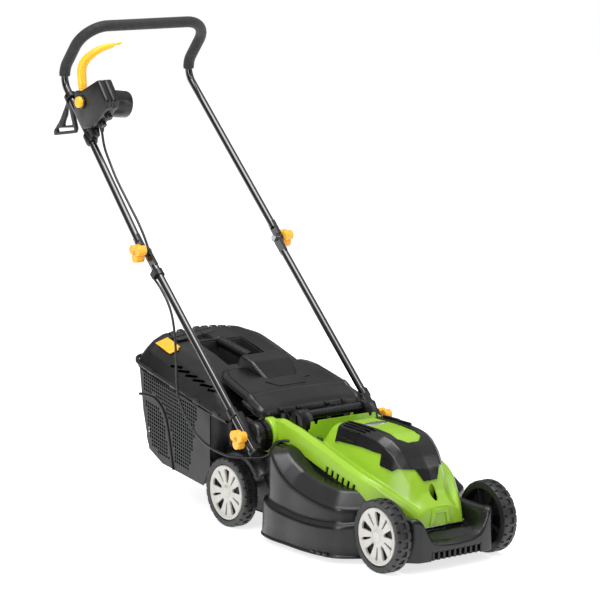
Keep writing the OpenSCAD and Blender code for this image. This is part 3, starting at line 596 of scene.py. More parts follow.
def deck_bumper():
    """Front wall, rounded rim and the tray behind it, as one skin."""
    grid = []
    for x, z, b, low in [(-x, z, -b, low) for x, z, b, low in reversed(RIM[1:])] + RIM:
        out = abs(x)
        back = 6 * min(1.0, out / 100) ** 4 + max(0.0, out - 100) * 1.1
        tray = lerp(0.9, 0.99, max(0.0, out - 84) / (BUMPER_SIDE - 84))
        in_tray = out < TRAY_SIDE
        floor_z = TRAY_Z if in_tray else z
        rows = [(b, -67 + back, low), (b, -74 + back, low + 2), (x, -75 + back, z - 6), (x, -71 + back, z),
                (x * tray ** 0.5, -57 + back * 0.6, z + 1.5),
                (x * tray ** 0.7, -50 + back * 0.6, lerp(floor_z, z, 0.86)),
                (x * tray, -26, floor_z - 2 if in_tray else z),
                (x * tray, 10, floor_z), (x * tray, 64, floor_z)]
        grid.append([Vector(p) for p in rows])
    return shell(patch("deck_bumper", grid, 6.0, 7.0, steps=4), DECK_WALL)


deck_piece(deck_bumper(), sharp=36)
comb = [block("t", (-66 + k * 14.7 - 3, -75, 28), (-66 + k * 14.7 + 3, -64, 46)) for k in range(10)]
comb.append(block("t", (-67, -66, 26), (67, -63, 44)))
deck_piece(bevel(join("bumper_comb", comb), 0.8, 1))
deck_piece(with_mirror(block("bumper_cheeks", (-117.4, -48, 25), (-114.4, 66, 109))))

# Parts of the deck that show only below and behind keep the CAD's own walls
core_room = block("keep", (-117, 66, 60), (117, 346, 230))
core = boolean(copy_of("deck", "deck_core"), core_room, "INTERSECT")
deck_piece(core, INSIDE)
rear_room = block("keep", (-170, 399, 20), (170, 640, 300))
rear = boolean(copy_of("deck", "deck_rear"), rear_room, "INTERSECT")
deck_piece(rear)

# Small moulded lugs along the skirt's foot, beside the front wheel
lug_turn = rotation(8, "Z")
lugs = [moved_block("lug", (5, 13, 9), (-203 - k * 2.2, 128 + k * 19, 19), lug_turn) for k in range(3)]
deck_piece(with_mirror(bevel(join("deck_lugs", lugs), 1.5)))

# ------------------------------------------------------------------ cowl

# Stations from the hubs to the nose: y, then (x, z) of the middle, top edge, shoulder, valley,
# rail's inner edge, ridge, outer edge and foot
COWL = [
    (438, (0, 206), (40, 206), (82, 206), (97, 208), (101, 249), (111, 255), (122, 249), (124, 213)),
    (404, (0, 206), (40, 206), (82, 206), (97, 208), (101, 255), (111, 261), (123, 255), (125, 212)),
    (344, (0, 206), (40, 206), (82, 206), (97, 208), (101, 246), (112, 251), (123, 243), (125, 203)),
    (312, (0, 207), (40, 207), (82, 207), (94, 208), (101, 236), (112, 242), (123, 233), (125, 194)),
    (304, (0, 214), (44, 214), (79, 212), (90, 214), (100, 234), (112, 239.5), (123, 231), (125, 192)),
    (284, (0, 264), (54, 264), (66, 258), (86, 223), (98, 229), (112, 234), (123, 225), (125, 186)),
    (262, (0, 268), (54, 268), (68, 262), (88, 217), (98, 223), (112, 228), (123, 219), (125, 180)),
    (205, (0, 268), (52, 268), (69, 260), (88, 202), (98, 207.5), (112, 212), (123, 203), (125, 165)),
    (160, (0, 267), (51, 266.5), (69, 257), (88, 191), (98, 195), (112, 199.5), (123, 190), (125, 155)),
    (118, (0, 263.5), (49, 263), (69, 251), (87, 181), (97, 184.5), (111, 188), (122, 179), (124, 145)),
    (96, (0, 257), (47, 256), (66, 241), (84, 174), (94, 177), (107, 181), (117, 172), (119, 132)),
    (70, (0, 242), (45, 239), (60, 222), (77, 164), (87, 167), (99, 171), (107, 162), (109, 116)),
    (52, (0, 226), (42, 221), (55, 200), (70, 152), (79, 156), (90, 160), (98, 150), (100, 107)),
    (31, (0, 200), (37, 195), (48, 172), (61, 140), (69, 144), (79, 148), (87, 138), (89, 98)),
    (12, (0, 152), (33, 148), (43, 141), (54, 132), (61, 135), (69, 138), (77, 126), (79, 90)),
    (-5, (0, 134), (31, 132), (40, 128), (49, 123), (55, 124), (61, 122), (67, 112), (69, 85)),
    (-13, (0, 127), (30, 125), (39, 121), (47, 116), (52, 114), (57, 110), (61, 102), (63, 84)),
    (-15.5, (0, 84), (30, 84), (39, 84), (47, 84), (52, 84), (57, 84), (60, 84), (62, 83.5)),
]


def both_sides(y, half, lift=0.0):
    """A full row of points from its right half, given as (x, z) from the middle outwards."""
    right = [Vector((-x, y, z + lift)) for x, z in reversed(half[1:])]
    return right + [Vector((x, y, z + lift)) for x, z in half]


def cowl_grid(lift=0.0):
    return [both_sides(y, half, lift) for y, *half in COWL]


cowl = shell(patch("cowl", cowl_grid(), 3.2, 7.0, steps=4), 3.0)
cuts = []
for side in (-1, 1):
    for k in range(6):  # cooling comb in the rail's lower edge
        y = 132 + k * 19
        low_z = 145 + (y - 117) * 0.228
        cuts.append(moved_block("c", (12, 9, 20), (side * 124, y, low_z + 5), rotation(13, "X")))
    hub_room = [(0, 0), (39.5, 0), (39.5, 40), (0, 40)]
    cuts.append(revolve("c", hub_room, (side * 112, PIVOT_Y, PIVOT_Z), (side, 0, 0), 48))
boolean(cowl, join("cuts", cuts))
# Oval slot in the nose, with a lime wall some way behind it
oval = [(9 * math.cos(t), 152 + 17 * math.sin(t)) for t in turns(32)]
boolean(cowl, prism("oval", oval, "y", -30, 40))
cowl_piece(block("oval_back", (-13, 24, 128), (13, 26, 180)))
saddle_half = [(97, 205), (97, 245), (92, 245), (90, 262), (82, 262), (80, 255), (72, 255), (70, 263)]
saddle_outline = [(-97, 205)] + saddle_half + [(-x, z) for x, z in reversed(saddle_half[1:])]
cowl_piece(prism("cowl_saddle", saddle_outline, "y", 330, 333))
cowl_piece(cowl, sharp=38)

# Raised frame low on the nose, leaning with it
frame_outline = [(-31, 86), (-21, 122), (21, 122), (31, 86)]
frame_hole = [(-17, 86), (-14, 112), (14, 112), (17, 86)]
nose = sheet_with_holes("cowl_nose_frame", frame_outline, [], lambda x, z: (x, -16.5 + (z - 86) * 0.06, z), 5)
boolean(nose, prism("n", frame_hole, "y", -40, 30))
cowl_piece(bevel(nose, 1.2))

# Ring of the cowl that holds the handle's ratchet
ring_profile = [(30, 112), (36, 112), (40, 114), (40.5, 118), (40.5, 131), (39, 134.5), (36.5, 135), (30, 135)]
for side, name in ((-1, "right"), (1, "left")):
    cowl_piece(revolve("cowl_ring_" + name, ring_profile, (0, PIVOT_Y, PIVOT_Z), (side, 0, 0), 72))

# Trim: a black skin over the dome, cut to shape
trim = patch("cowl_trim_piece", cowl_grid(2.4), 3.2, 7.0, steps=4)
for v in trim.data.vertices:  # stands proud sideways and forwards too
    x, y = v.co.x / MM, (v.co.y - AXLE_Y) / MM
    v.co.x += math.copysign(min(1.0, abs(x) / 50) * 2.2 * MM, x)
    v.co.y -= max(0.0, min(1.0, (110 - y) / 60)) * 2.6 * MM
shell(trim, 3.4)
trim_side = [(252, 231), (262, 300), (60, 300), (-30, 300), (-30, 172), (30, 172), (55, 197), (68, 197),
             (98, 205), (100, 229), (160, 234), (240, 234)]
boolean(trim, prism("s", trim_side, "x", -84, 84), "INTERSECT")
trim_front = [(-90, 320), (-90, 190), (-72, 194), (-62, 203), (-40, 203), (-33, 205), (-18, 177), (18, 177),
              (33, 205), (40, 203), (62, 203), (72, 194), (90, 190), (90, 320)]
boolean(trim, prism("f", trim_front, "y", -60, 330), "INTERSECT")
panel_plan = [(-33, 330), (-33, 96), (-14, 80), (14, 80), (33, 96), (33, 330)]
boolean(trim, prism("p", panel_plan, "z", 236, 320))


def trim_point(x, y, lift):
    """A point lift above the trim at x from the middle, and the surface's slope across there."""
    stations = [(r[0], *[v for q in r[1:6] for v in q]) for r in reversed(COWL)]
    flat = table(stations, y)
    section = list(zip(flat[::2], flat[1::2]))

    def height(at):
        return table(section, at)[0]

    fall = (height(x + 3) - height(x - 3)) / 6
    n = Vector((-fall, 0, 1)).normalized()
    return x + n.x * lift, height(x) + n.z * lift, fall


louvres = []
for side in (-1, 1):
    for k in range(5):
        x0, y0, y1 = 49 + k * 6.6, 249 - k * 1.5, 152 + k * 9
        for a, b in ((y0, (y0 + y1) / 2), ((y0 + y1) / 2, y1)):
            ym = (a + b) / 2
            x, z, fall = trim_point(x0, ym, 4.5)
            turn = facing((0, -1, 0), (side, 0, fall))
            louvres.append(moved_block("l", (3.4, a - b + 1, 4.4), (side * x, ym, z), turn))
trim_piece(bevel(join("trim_louvres", louvres), 0.7, 1), "cowl_trim")
trim_piece(bevel(trim, 0.8, 1, 40), "cowl_trim", sharp=38)

# A blank oval badge, domed: share of its size and height of each ring
badge_rings = [[(31 * r * math.cos(t), 214 + 13 * r * math.sin(t), 267.2 + z) for t in turns(48)]
               for r, z in ((1.0, 0.4), (0.97, 1.6), (0.9, 2.1), (0.55, 2.5), (0.2, 2.6))]
badge_verts = [pt(*p) for ring in badge_rings for p in ring]
badge_ends = [tuple(range(4 * 48, 5 * 48)), tuple(range(47, -1, -1))]
badge = mesh_object("badge_oval", badge_verts, grid_faces(5, 48, close_cols=True) + badge_ends)
finish_piece(badge, "chassis", SILVER, ["badge_plate"])

# ------------------------------------------------------------------ carry handle


def ribbed_bar(name, a, b, radius, ribs, depth, flat):
    """A bar from a to b with grooves of the given depth between its ribs."""
    path, radii = [], []
    for k in range(ribs * 4 + 1):
        path.append(a.lerp(b, k / (ribs * 4)))
        radii.append(radius - (depth if k % 4 in (1, 2) else 0.0))
    return tube(name, path, radii, 24, True, flat)


bar = ribbed_bar("carry_bar", Vector((-84, 366, 269.5)), Vector((84, 366, 271)), 10.8, 26, 0.9, 0.9)
trim_piece(bar, "carry_handle")
end_outline = [(338, 226.5), (398, 226.5), (392, 262), (380, 281), (366, 285), (352, 283), (344, 268)]
ends = prism("carry_ends", end_outline, "x", -107, -74)
bevel(ends, 3, 2)
boolean(ends, prism("hole", [(357, 246), (364, 246), (369, 270), (362, 273)], "x", -112, -98))
trim_piece(with_mirror(ends), "carry_handle")

# ------------------------------------------------------------------ wheels

TREAD_LUGS = 24
TYRE_PROFILE = [(62, 20), (62, 9), (63.5, 4), (66, 2.2), (74.5, 1.2), (77.2, 1.6), (79.3, 4.4), (79.8, 8.2),
                (80, 8.6), (80, 12.6), (80, 13), (80, 25), (80, 25.4), (80, 29.4), (79.8, 29.8),
                (79.3, 33.6), (77.2, 36.4), (74.5, 37), (64, 37.8), (62, 36), (62, 26), (60, 20), (16, 20),
                (14, 24), (14, 36), (9, 36), (5.3, 35.8), (5.3, 16.5), (13.5, 16.5), (14, 13), (58, 13),
                (60, 16)]
SHOULDER_POINTS, WINDOW_POINTS = (5, 6, 7, 14, 15, 16), (10, 11)  # places in TYRE_PROFILE
CAP_PROFILE = [(0, 0.6), (9, 0.4), (12.5, 1.2), (14, 3.2), (19, 5.2), (30, 5.6), (44, 4.6), (53, 3.6),
               (57, 1.6), (60, 0.8), (62.2, 2.2), (62.6, 5), (62.6, 9), (59, 10.5), (57, 8.5), (46, 10.2),
               (19, 10.8), (0, 10.5)]


def tread(k, j, r, h):
    """A row of windows sunk in the tread, and notches between the lugs at both shoulders."""
    phase = k % 12
    if j in SHOULDER_POINTS and phase in (9, 10):
        return r - 3.4, h
    return (r - 3.2, h) if j in WINDOW_POINTS and phase < 7 else (r, h)


def spoke_gap(angle, inner, outer, w_in, w_out):
    ca, sa = math.cos(angle), math.sin(angle)
    pts = [Vector((inner, -w_in, 0)), Vector((outer, -w_out, 0)), Vector((outer + 3, 0, 0)),
           Vector((outer, w_out, 0)), Vector((inner, w_in, 0))]
    pts = round_corners(pts, 3.0, 3, True)
    return [(p.x * ca - p.y * sa, p.x * sa + p.y * ca) for p in pts]


def wheel(which, side, track, y):
    """side is -1 for the right-hand wheels and 1 for the left."""
    body = "wheel_%s_unit" % which
    outer = side * track / 2
    centre = (outer, y, WHEEL_R)
    tyre = revolve("tyre_" + which, TYRE_PROFILE, centre, (-side, 0, 0), TREAD_LUGS * 12, True, tread)
    finish_piece(tyre, body, TYRE, ["wheel_" + which], sharp=18)
    ribs = []
    for a in [2 * math.pi * (k + 0.4) / 8 for k in range(8)]:
        at = (outer - side * 26, y + 38 * math.sin(a), WHEEL_R + 38 * math.cos(a))
        ribs.append(moved_block("r", (14, 3, 47), at, Matrix.Rotation(-a, 3, "X")))
    finish_piece(join("wheel_ribs_" + which, ribs), body, TYRE, ["wheel_" + which])
    cap = revolve("cap", CAP_PROFILE, centre, (-side, 0, 0), 80, False)
    lo, hi = sorted((outer + side * 3, outer - side * 14))
    gaps = []
    for k in range(5):  # a wide gap inside each spoke pair and a narrow one between pairs
        a = 2 * math.pi * k / 5 + 0.35
        for at, w_in, w_out, start in ((a, 3.2, 10.5, 22), (a + math.pi / 5, 1.4, 3.8, 24)):
            loop = spoke_gap(at, start, 52, w_in, w_out)
            gaps.append(prism("g", [(y + u, WHEEL_R + v) for u, v in loop], "x", lo, hi))
    boolean(cap, join("gaps", gaps))
    bevel(cap, 0.9, 2, 35)
    cap.name = "cap_" + which
    finish_piece(cap, body, CAP, ["hub_cap_" + which], sharp=30)


wheel("front_right", -1, FRONT_TRACK, 0)
wheel("front_left", 1, FRONT_TRACK, 0)
wheel("rear_right", -1, REAR_TRACK, REAR_AXLE_Y)
wheel("rear_left", 1, REAR_TRACK, REAR_AXLE_Y)

# ------------------------------------------------------------------ ratchet hubs

PIVOT = (0, PIVOT_Y, PIVOT_Z)
LOWER_DIR = Vector((0, FOLD_Y - PIVOT_Y, FOLD_Z - PIVOT_Z)).normalized()
LOWER_UP = Vector((0, -LOWER_DIR.z, LOWER_DIR.y)).normalized()
HUB_PROFILE = [(10, 136), (34, 136), (36.2, 138), (36.2, 149), (33, 149.4), (10, 149)]
DISC_PROFILE = [(10, 154.5), (33.2, 154.6), (35.2, 155), (35, 166), (33.5, 171), (30, 174), (24, 175.6),
                (10, 176)]


def teeth(points):
    """A wobble that cuts ratchet teeth into the given points of a profile."""
    def wobble(k, j, r, h):
        return (r, h + (2.4 if k % 4 < 2 else -2.4)) if j in points else (r, h)
    return wobble


def along_tube(side, s, x, up=0.0):
    return Vector(PIVOT) + LOWER_DIR * s + LOWER_UP * up + Vector((side * x, 0, 0))


tube_turn = Matrix.Rotation(math.atan2(LOWER_DIR.z, LOWER_DIR.y), 3, "X")
for side, name in ((-1, "right"), (1, "left")):
    hub = revolve("ratchet_hub_" + name, HUB_PROFILE, PIVOT, (side, 0, 0), 144, True, teeth((3, 4)))
    finish_piece(hub, "chassis", BLACK, ["pivot_hub_" + name], sharp=30)
    parts = [revolve("d", DISC_PROFILE, PIVOT, (side, 0, 0), 144, True, teeth((1, 2)))]
    parts.append(bevel(moved_block("back", (13, 106, 26), along_tube(side, 11, 174.5), tube_turn), 3))
    for up in (-11.5, 11.5):
        parts.append(bevel(moved_block("lip", (17, 104, 3.4), along_tube(side, 11, 180, up), tube_turn), 1.2))
    for part, places, radii in (("collar", (56, 58, 77, 79), [11.5, 13, 13, 11.6]),
                                ("shoe", (-47, -45, -37, -36), [10.5, 12, 12, 11])):
        parts.append(tube(part, [along_tube(side, s, 186) for s in places], radii, 28))
    bracket = join("handle_bracket_" + name, parts)
    finish_piece(bracket, "handle_lower", BLACK, ["pivot_plate_" + name], sharp=34)

# ------------------------------------------------------------------ rear flap

FLAP_TILT = math.radians(16.5)


def on_flap(x, s, h):
    """A point on the flap: s along it from the hinge, h above it."""
    return (x, 452 + s * math.cos(FLAP_TILT) - h * math.sin(FLAP_TILT),
            268 + s * math.sin(FLAP_TILT) + h * math.cos(FLAP_TILT))


# s, half width and heights above the hinge plane of the middle, the panel's edge and the border
FLAP = [(-11, 138, -24, -24, -24), (-9, 141, -4, -5, -6), (-1, 146, 7, 5, 1), (12, 148, 13, 9, 3),
        (44, 148, 20, 13, 5), (54, 148, 22, 17, 9), (62, 147, 21, 18, 12), (68, 146, 15.5, 14, 12),
        (120, 143, 14, 12.5, 10), (165, 138, 13, 11.5, 9), (184, 128, 13, 12, 8), (198, 116, 11, 10, 6),
        (206, 112, 3, 3, 3)]
flap_grid = []
for s, w, mid, edge, border in FLAP:
    row = [(-w, border - 7), (-w + 2, border), (-w + 13, edge + 2.2), (-w + 20, edge - 1.0),
           (-w + 60, lerp(edge, mid, 0.6)), (-40, mid), (0, mid + 0.6)]
    row += [(-x, h) for x, h in reversed(row[:-1])]
    flap_grid.append([Vector(on_flap(x, s, h)) for x, h in row])
flap_piece(shell(patch("flap_panel", flap_grid, 3.0, 5.0, steps=3), 3.2), sharp=40)
emboss = []
for size, x, s0, h, degrees in (((70, 2.2, 2), 0, 82, 15.5, 0), ((2.2, 34, 2), -46, 96, 15.2, 32),
                                ((2.2, 34, 2), 46, 96, 15.2, -32), ((15, 4, 3), 62, 112, 14.4, 20)):
    turn = Matrix.Rotation(FLAP_TILT, 3, "X") @ rotation(degrees, "Z")
    emboss.append(moved_block("e", size, on_flap(x, s0, h), turn))
flap_piece(join("flap_emboss", emboss), INSIDE)
skirts = prism("flap_skirts", [(450, 256), (512, 275), (520, 285), (512, 290), (450, 274)], "x", -148, -144)
flap_piece(with_mirror(bevel(skirts, 1.2)))
grip_grid = []
for s, w, top in ((118, 44, 11), (124, 48, 14), (172, 60, 35), (206, 66, 38), (211, 66, 33), (212, 66, 12)):
    row = ((-w, 10), (-w + 3, top - 3), (-w + 8, top), (w - 8, top), (w - 3, top - 3), (w, 10))
    grip_grid.append([Vector(on_flap(x, s, h)) for x, h in row])
flap_piece(patch("flap_grip", grip_grid, 3.0, 4.0), sharp=34)

# ------------------------------------------------------------------ grass box: basket


def rim_z(y):
    return 236 + (y - 500) * 0.213


SIDE_WALL = [(608, 118), (636, 70), (806, 90), (862, 116), (886, 205), (902, rim_z(902)), (606, rim_z(606))]
# A rib that arches over the rear half of each side, front end last
ARCH = [(900, 242), (868, 243), (836, 241), (812, 230), (796, 214), (786, 195), (778, 168), (770, 130),
        (762, 94), (758, 84)]


def mesh_holes(area, pitch, size, slope):
    """Square holes in rows that rise by slope, wherever a whole one fits in the area."""
    holes = []
    ys = [p[0] for p in area]
    zs = [p[1] for p in area]
    y = min(ys)
    while y < max(ys):
        z = min(zs) - 60
        while z < max(zs) + 60:
            c = (y, z + slope * (y - min(ys)))
            corners = [(c[0] + a * size / 2, c[1] + b * size / 2 + slope * a * size / 2)
                       for a, b in ((-1, -1), (1, -1), (1, 1), (-1, 1))]
            if all(inside(p, area) for p in corners):
                holes.append(corners)
            z += pitch
        y += pitch
    return holes


PITCH, HOLE = 8.6, 5.9
upper_area = [(884, 250), (888, rim_z(888) - 16), (655, rim_z(655) - 16), (658, 224), (674, 152), (690, 90),
              (752, 96), (756, 118), (764, 150), (772, 184), (782, 207), (798, 226), (814, 240), (838, 249)]
lower_area = [(878, 235), (840, 233), (818, 222), (804, 208), (794, 190), (786, 165), (777, 128), (769, 98),
              (806, 102), (850, 124), (866, 150)]
wall_holes = []
for area in (upper_area, lower_area):
    wall_holes += mesh_holes(area, PITCH, HOLE, 0.17)
walls = []
for side in (-1, 1):
    wall = sheet_with_holes("basket_side", SIDE_WALL, wall_holes, lambda y, z, s=side: (s * 173.5, y, z), 2.6)
    walls.append(wall)
    rib = tube("rib", smooth_line([Vector((side * 174.6, y, z)) for y, z in ARCH], 4), 3.6, 10, True)
    walls.append(rib)
# Dark sheets just inside the mesh: painted shade standing in for the shaded inside of the box, not a real wall
shade_sheet_outline = [(614, 122), (640, 78), (804, 98), (856, 122), (878, 205), (892, 312), (612, 252)]
painted_shade_sheets = prism("basket_painted_shade_sheets", shade_sheet_outline, "x", -170.5, -169.5)
basket_piece(with_mirror(painted_shade_sheets), INSIDE)
basket_piece(join("basket_walls", walls), sharp=30)

BASKET_WALL = 2.6
# Plans of the basket's rear and front walls, right half as (x, y)
REAR_PLAN = [(172, 882), (160, 903), (140, 917), (60, 922), (0, 923)]
FRONT_PLAN = [(122, 498), (123, 560), (124, 596), (150, 606), (172, 620)]
rear_grid = []
for drop in (0.0, 0.35, 0.7, 0.93, 1.0):
    row = []
    for x, y in REAR_PLAN:
        low, slope = (108, 46) if y > 880 else (100, 30)
        row.append(Vector((x - (3 if drop > 0.9 else 0), y - drop * slope, lerp(rim_z(y), low, drop))))
    rear_grid.append([mirrored(p) for p in row] + [p.copy() for p in reversed(row[:-1])])
basket_piece(shell(patch("basket_rear", rear_grid, 10.0, 10.0, steps=4), BASKET_WALL))

floor_line = ((606, 128), (634, 72), (660, 69), (806, 89), (850, 104), (868, 118), (874, 140))
floor_grid = [[Vector((x, y, z + (8 if abs(x) > 172 else 0))) for y, z in floor_line]
              for x in (-174, -170, -150, -80, 0, 80, 150, 170, 174)]
basket_piece(shell(patch("basket_floor", floor_grid, 10.0, 8.0, steps=3), BASKET_WALL))

front_grid = [[Vector((-x, y, lerp(rim_z(y), 121 if y < 600 else 116, drop))) for x, y in FRONT_PLAN]
              for drop in (0.0, 0.5, 1.0)]
basket_piece(with_mirror(shell(patch("basket_front", front_grid, 8.0, 8.0), BASKET_WALL)))
basket_piece(bevel(block("basket_mouth", (-123, 500, 118), (123, 610, 121)), 1))

# ------------------------------------------------------------------ grass box: lid

# y, then (x, z) from the middle to the lip
LID = [
    (519, (0, 252), (60, 252), (120, 250), (152, 248), (166, 246), (182, 243), (188, 238)),
    (560, (0, 270), (60, 270), (120, 267), (150, 262), (163, 258), (182, 250), (190, 246)),
    (604, (0, 292), (60, 292), (118, 288), (148, 280), (162, 272), (184, 257), (190, 252)),
    (661, (0, 322), (60, 321), (116, 315), (148, 304), (163, 291), (185, 268), (190, 263)),
    (743, (0, 349), (60, 348), (116, 341), (148, 328), (164, 312), (186, 285), (190, 280)),
    (801, (0, 363), (60, 362), (116, 355), (148, 344), (165, 332), (187, 297), (190, 291)),
    (862, (0, 376), (60, 375), (112, 370), (145, 361), (165, 347), (187, 311), (190, 304)),
    (898, (0, 384), (60, 382), (108, 376), (136, 365), (155, 350), (180, 322), (183, 313)),
    (920, (0, 385), (56, 382), (96, 375), (122, 363), (140, 349), (158, 331), (163, 320)),
    (930, (0, 368), (52, 366), (90, 360), (112, 350), (127, 340), (140, 330), (147, 322)),
    (932, (0, 334), (52, 332), (88, 330), (108, 328), (124, 326), (136, 325), (144, 321)),
]
lid_grid = [both_sides(y, half) for y, *half in LID]
lid = shell(patch("lid_shell", lid_grid, 4.0, 14.0, steps=4), 3.0)
lid_cuts = [block("c", (-64, 692, 290), (64, 820, 420))]
for k in range(6):  # slanted slots on both shoulders
    y = 768 - k * 28.2
    z = lerp(320, 345, (y - 661) / 201) - 6
    for side in (-1, 1):
        turn = facing((-side * 9, -32, 9 - 0.24 * 32), (side, 0, -1))
        lid_cuts.append(moved_block("c", (7.5, 35, 26), (side * 155, y, z - 11 + 0.06 * (y - 661)), turn))
for k in range(8):  # slots across the rear edge
    x = -88 + k * 24
    at = (x, 914 - max(0, abs(x) - 50) * 0.35, 385 - max(0, abs(x) - 60) * 0.2)
    lid_cuts.append(moved_block("c", (9, 44, 30), at, facing((0.35, 1, 0), (1, -0.35, 0))))
boolean(lid, join("lid_cuts", lid_cuts))
lid_piece(lid, sharp=36)

pocket = prism("lid_pocket", [(692, 292), (820, 292), (820, 364.5), (692, 330)], "x", -64, 64)
boolean(pocket, block("c", (-61, 695, 295), (61, 817, 400)))
lid_piece(bevel(pocket, 1.0), INSIDE)

clips = [moved_block("clip", (5, 24, 12), (side * 189.5, y, rim_z(y) + 3), rotation(12, "X"))
         for side in (-1, 1) for y in (560, 640, 735, 830)]
lid_piece(bevel(join("lid_clips", clips), 1.4))

lip_half = [Vector((x, y, rim_z(at) + up)) for x, y, at, up in (
    (-188, 520, 520, 2), (-189, 700, 700, 3), (-189, 862, 862, 3), (-180, 902, 902, 3), (-150, 926, 926, 2),
    (-60, 931, 930, 2), (0, 932, 930, 2))]
lip_line = smooth_line(lip_half + [mirrored(p) for p in reversed(lip_half[:-1])], 6)
lid_piece(tube("lid_lip", lip_line, 4.2, 10, True))

carry = ribbed_bar("lid_handle", Vector((0, 818, 362)), Vector((0, 694, 342)), 13.5, 18, 1.0, 0.92)
finish_piece(carry, "grass_box", BLACK, ["grass_handle"])

# Raised fields moulded in the lid's rear, left blank
fields = []
for k in range(6):
    row, column = divmod(k, 3)
    at = (-86 + column * 36, 850 + row * 21, 374 + column * 4 + row * 5)
    fields.append(moved_block("f", (33, 17, 1.6), at, rotation(13, "X") @ rotation(-7, "Y")))
lid_piece(bevel(join("lid_fields", fields), 0.5, 1))

inset_turn = rotation(15.4, "X") @ rotation(-18, "Y")
inset = moved_block("lid_inset", (34, 62, 3), (-133, 838, 362.5), inset_turn)
boolean(inset, moved_block("c", (14, 16, 10), (-117, 806, 357), inset_turn))
finish_piece(bevel(inset, 0.8), "grass_box", YELLOW, ["grass_inset"])

# ------------------------------------------------------------------ handle

UPPER_X = 194.6
TUBE_R, GRIP_R = 9.0, 13.5
FOLD = Vector((-UPPER_X, FOLD_Y, FOLD_Z))
BEND = Vector((-180, 1229, 973))
BAR = Vector((-179, 1119, 1097))


def arc_corners(points, radii, steps=14):
    """The polyline with each inner corner replaced by a true arc."""
    out = [points[0].copy()]
    for i in range(1, len(points) - 1):
        u = (points[i] - points[i - 1]).normalized()
        w = (points[i + 1] - points[i]).normalized()
        turn = u.angle(w)
        inward = (w - u * w.dot(u)).normalized()
        start = points[i] - u * radii[i] * math.tan(turn / 2)
        for k in range(steps + 1):
            a = turn * k / steps
            out.append(start + radii[i] * (math.sin(a) * u + (1 - math.cos(a)) * inward))
    out.append(points[-1].copy())
    return out


upper_half = [FOLD + Vector((0, 22, 22)), BEND, BAR]
upper_line = arc_corners(upper_half + [mirrored(p) for p in reversed(upper_half)], [0, 48, 66, 66, 48, 0])
tabs = []
for side in (-1, 1):
    x = side * UPPER_X
    disc = [(0, -4), (11.5, -4), (11.5, 4), (0, 4)]
    tabs.append(revolve("t", disc, (x, FOLD_Y, FOLD_Z), (1, 0, 0), 32))
    tabs.append(moved_block("t", (8, 40, 22.2), (x, FOLD_Y + 19, FOLD_Z + 19), rotation(45, "X")))
upper = join("handle_upper_tube", [tube("u", upper_line, TUBE_R, 32)] + tabs)
finish_piece(upper, "handle_upper", TUBE, ["upper_tube"], sharp=40)

# The foam begins halfway round the bend
grip_start = next(i for i, p in enumerate(upper_line) if p.z > BEND.z - 1)
foam_line = upper_line[grip_start:len(upper_line) - grip_start]
foam_radii = [GRIP_R] * len(foam_line)
foam_radii[0] = foam_radii[-1] = GRIP_R - 0.9
finish_piece(tube("grip_foam", foam_line, foam_radii, 36), "handle_upper", FOAM, ["foam_grip"], sharp=50)

# ------------------------------------------------------------------ switch box

CASE = [(1025, 979), (987, 932), (992, 915), (1064, 860), (1095, 857), (1130, 894), (1137, 922), (1102, 947)]
outer_case = bevel(prism("case_outer", CASE, "x", BOX_X - 20, BOX_X - 0.6), 5, 3)
button_room = [(0, 0), (14.2, 0), (14.2, 26), (0, 26)]
boolean(outer_case, revolve("c", button_room, (BOX_X - 30, BUTTON_Y, BUTTON_Z), (1, 0, 0), 40))
collar_profile = [(13.9, -4.2), (16.2, -4.2), (17.6, -2.5), (18, 2), (13.9, 2)]
collar = revolve("case_button_collar", collar_profile, (BOX_X - 20, BUTTON_Y, BUTTON_Z), (1, 0, 0), 48)
switch_piece(join("case_outer", [outer_case, collar]), "switch_case_outer")

inner_case = bevel(prism("case_inner", CASE, "x", BOX_X + 0.6, BOX_X + 20), 4, 3)
seam_outline = [(lerp(y, 1060, 0.015), lerp(z, 915, 0.015)) for y, z in CASE]
seam = prism("case_seam", seam_outline, "x", BOX_X - 2, BOX_X + 2)
tube_dir = (BEND - FOLD).normalized()


def on_tube(s):
    return FOLD + tube_dir * s


clamp = tube("clamp", [on_tube(330), on_tube(334), on_tube(354), on_tube(358)], [13.5, 15, 15, 13.5], 28)
foot_outline = [(1071, 862), (1066, 842), (1084, 826), (1098, 840), (1094, 862)]
foot = bevel(prism("foot", foot_outline, "x", BOX_X - 8, BOX_X + 14), 3, 2)
boss_profile = [(0, 0), (7.5, 0), (8.5, 2), (8.5, 14), (0, 14)]
bosses = [revolve("b", boss_profile, (BOX_X + 8, y, z), (0, 0.64, 0.77), 24)
          for y, z in ((1016, 886), (1042, 866))]
switch_piece(join("case_inner", [inner_case, seam, clamp, foot] + bosses), "switch_case_inner")

ears = [revolve("e", [(0, lo), (9, lo), (10.5, lo + 1.5), (10.5, hi - 1), (0, hi)],
                (BOX_X, LEVER_Y, LEVER_Z), (1, 0, 0), 32) for lo, hi in ((-19, -7), (7, 19))]
switch_piece(join("case_ears", ears), "switch_case_outer")

SHROUD_TILT = math.radians(97)
SHROUD_AXIS = Vector((math.sin(SHROUD_TILT), 0, math.cos(SHROUD_TILT)))
shroud_profile = [(0, -12), (17, -12), (17, -1), (30, -0.5), (32, 1.5), (32.6, 20), (32, 44), (31, 46.6),
                  (29.2, 47), (28.2, 45.5), (28, 8), (26, 6), (0, 6)]
shroud = revolve("plug_housing", shroud_profile, (BOX_X + 24, 1041, 920), SHROUD_AXIS, 64, False)
switch_piece(shroud, "plug_shroud")

gland_line = [Vector((-168, y, z)) for y, z in ((1070, 884), (1066, 864), (1064.5, 856), (1064, 850))]
switch_piece(tube("cable_gland_piece", gland_line, [6.6, 6.6, 5.4, 4.2], 20), "cable_gland")

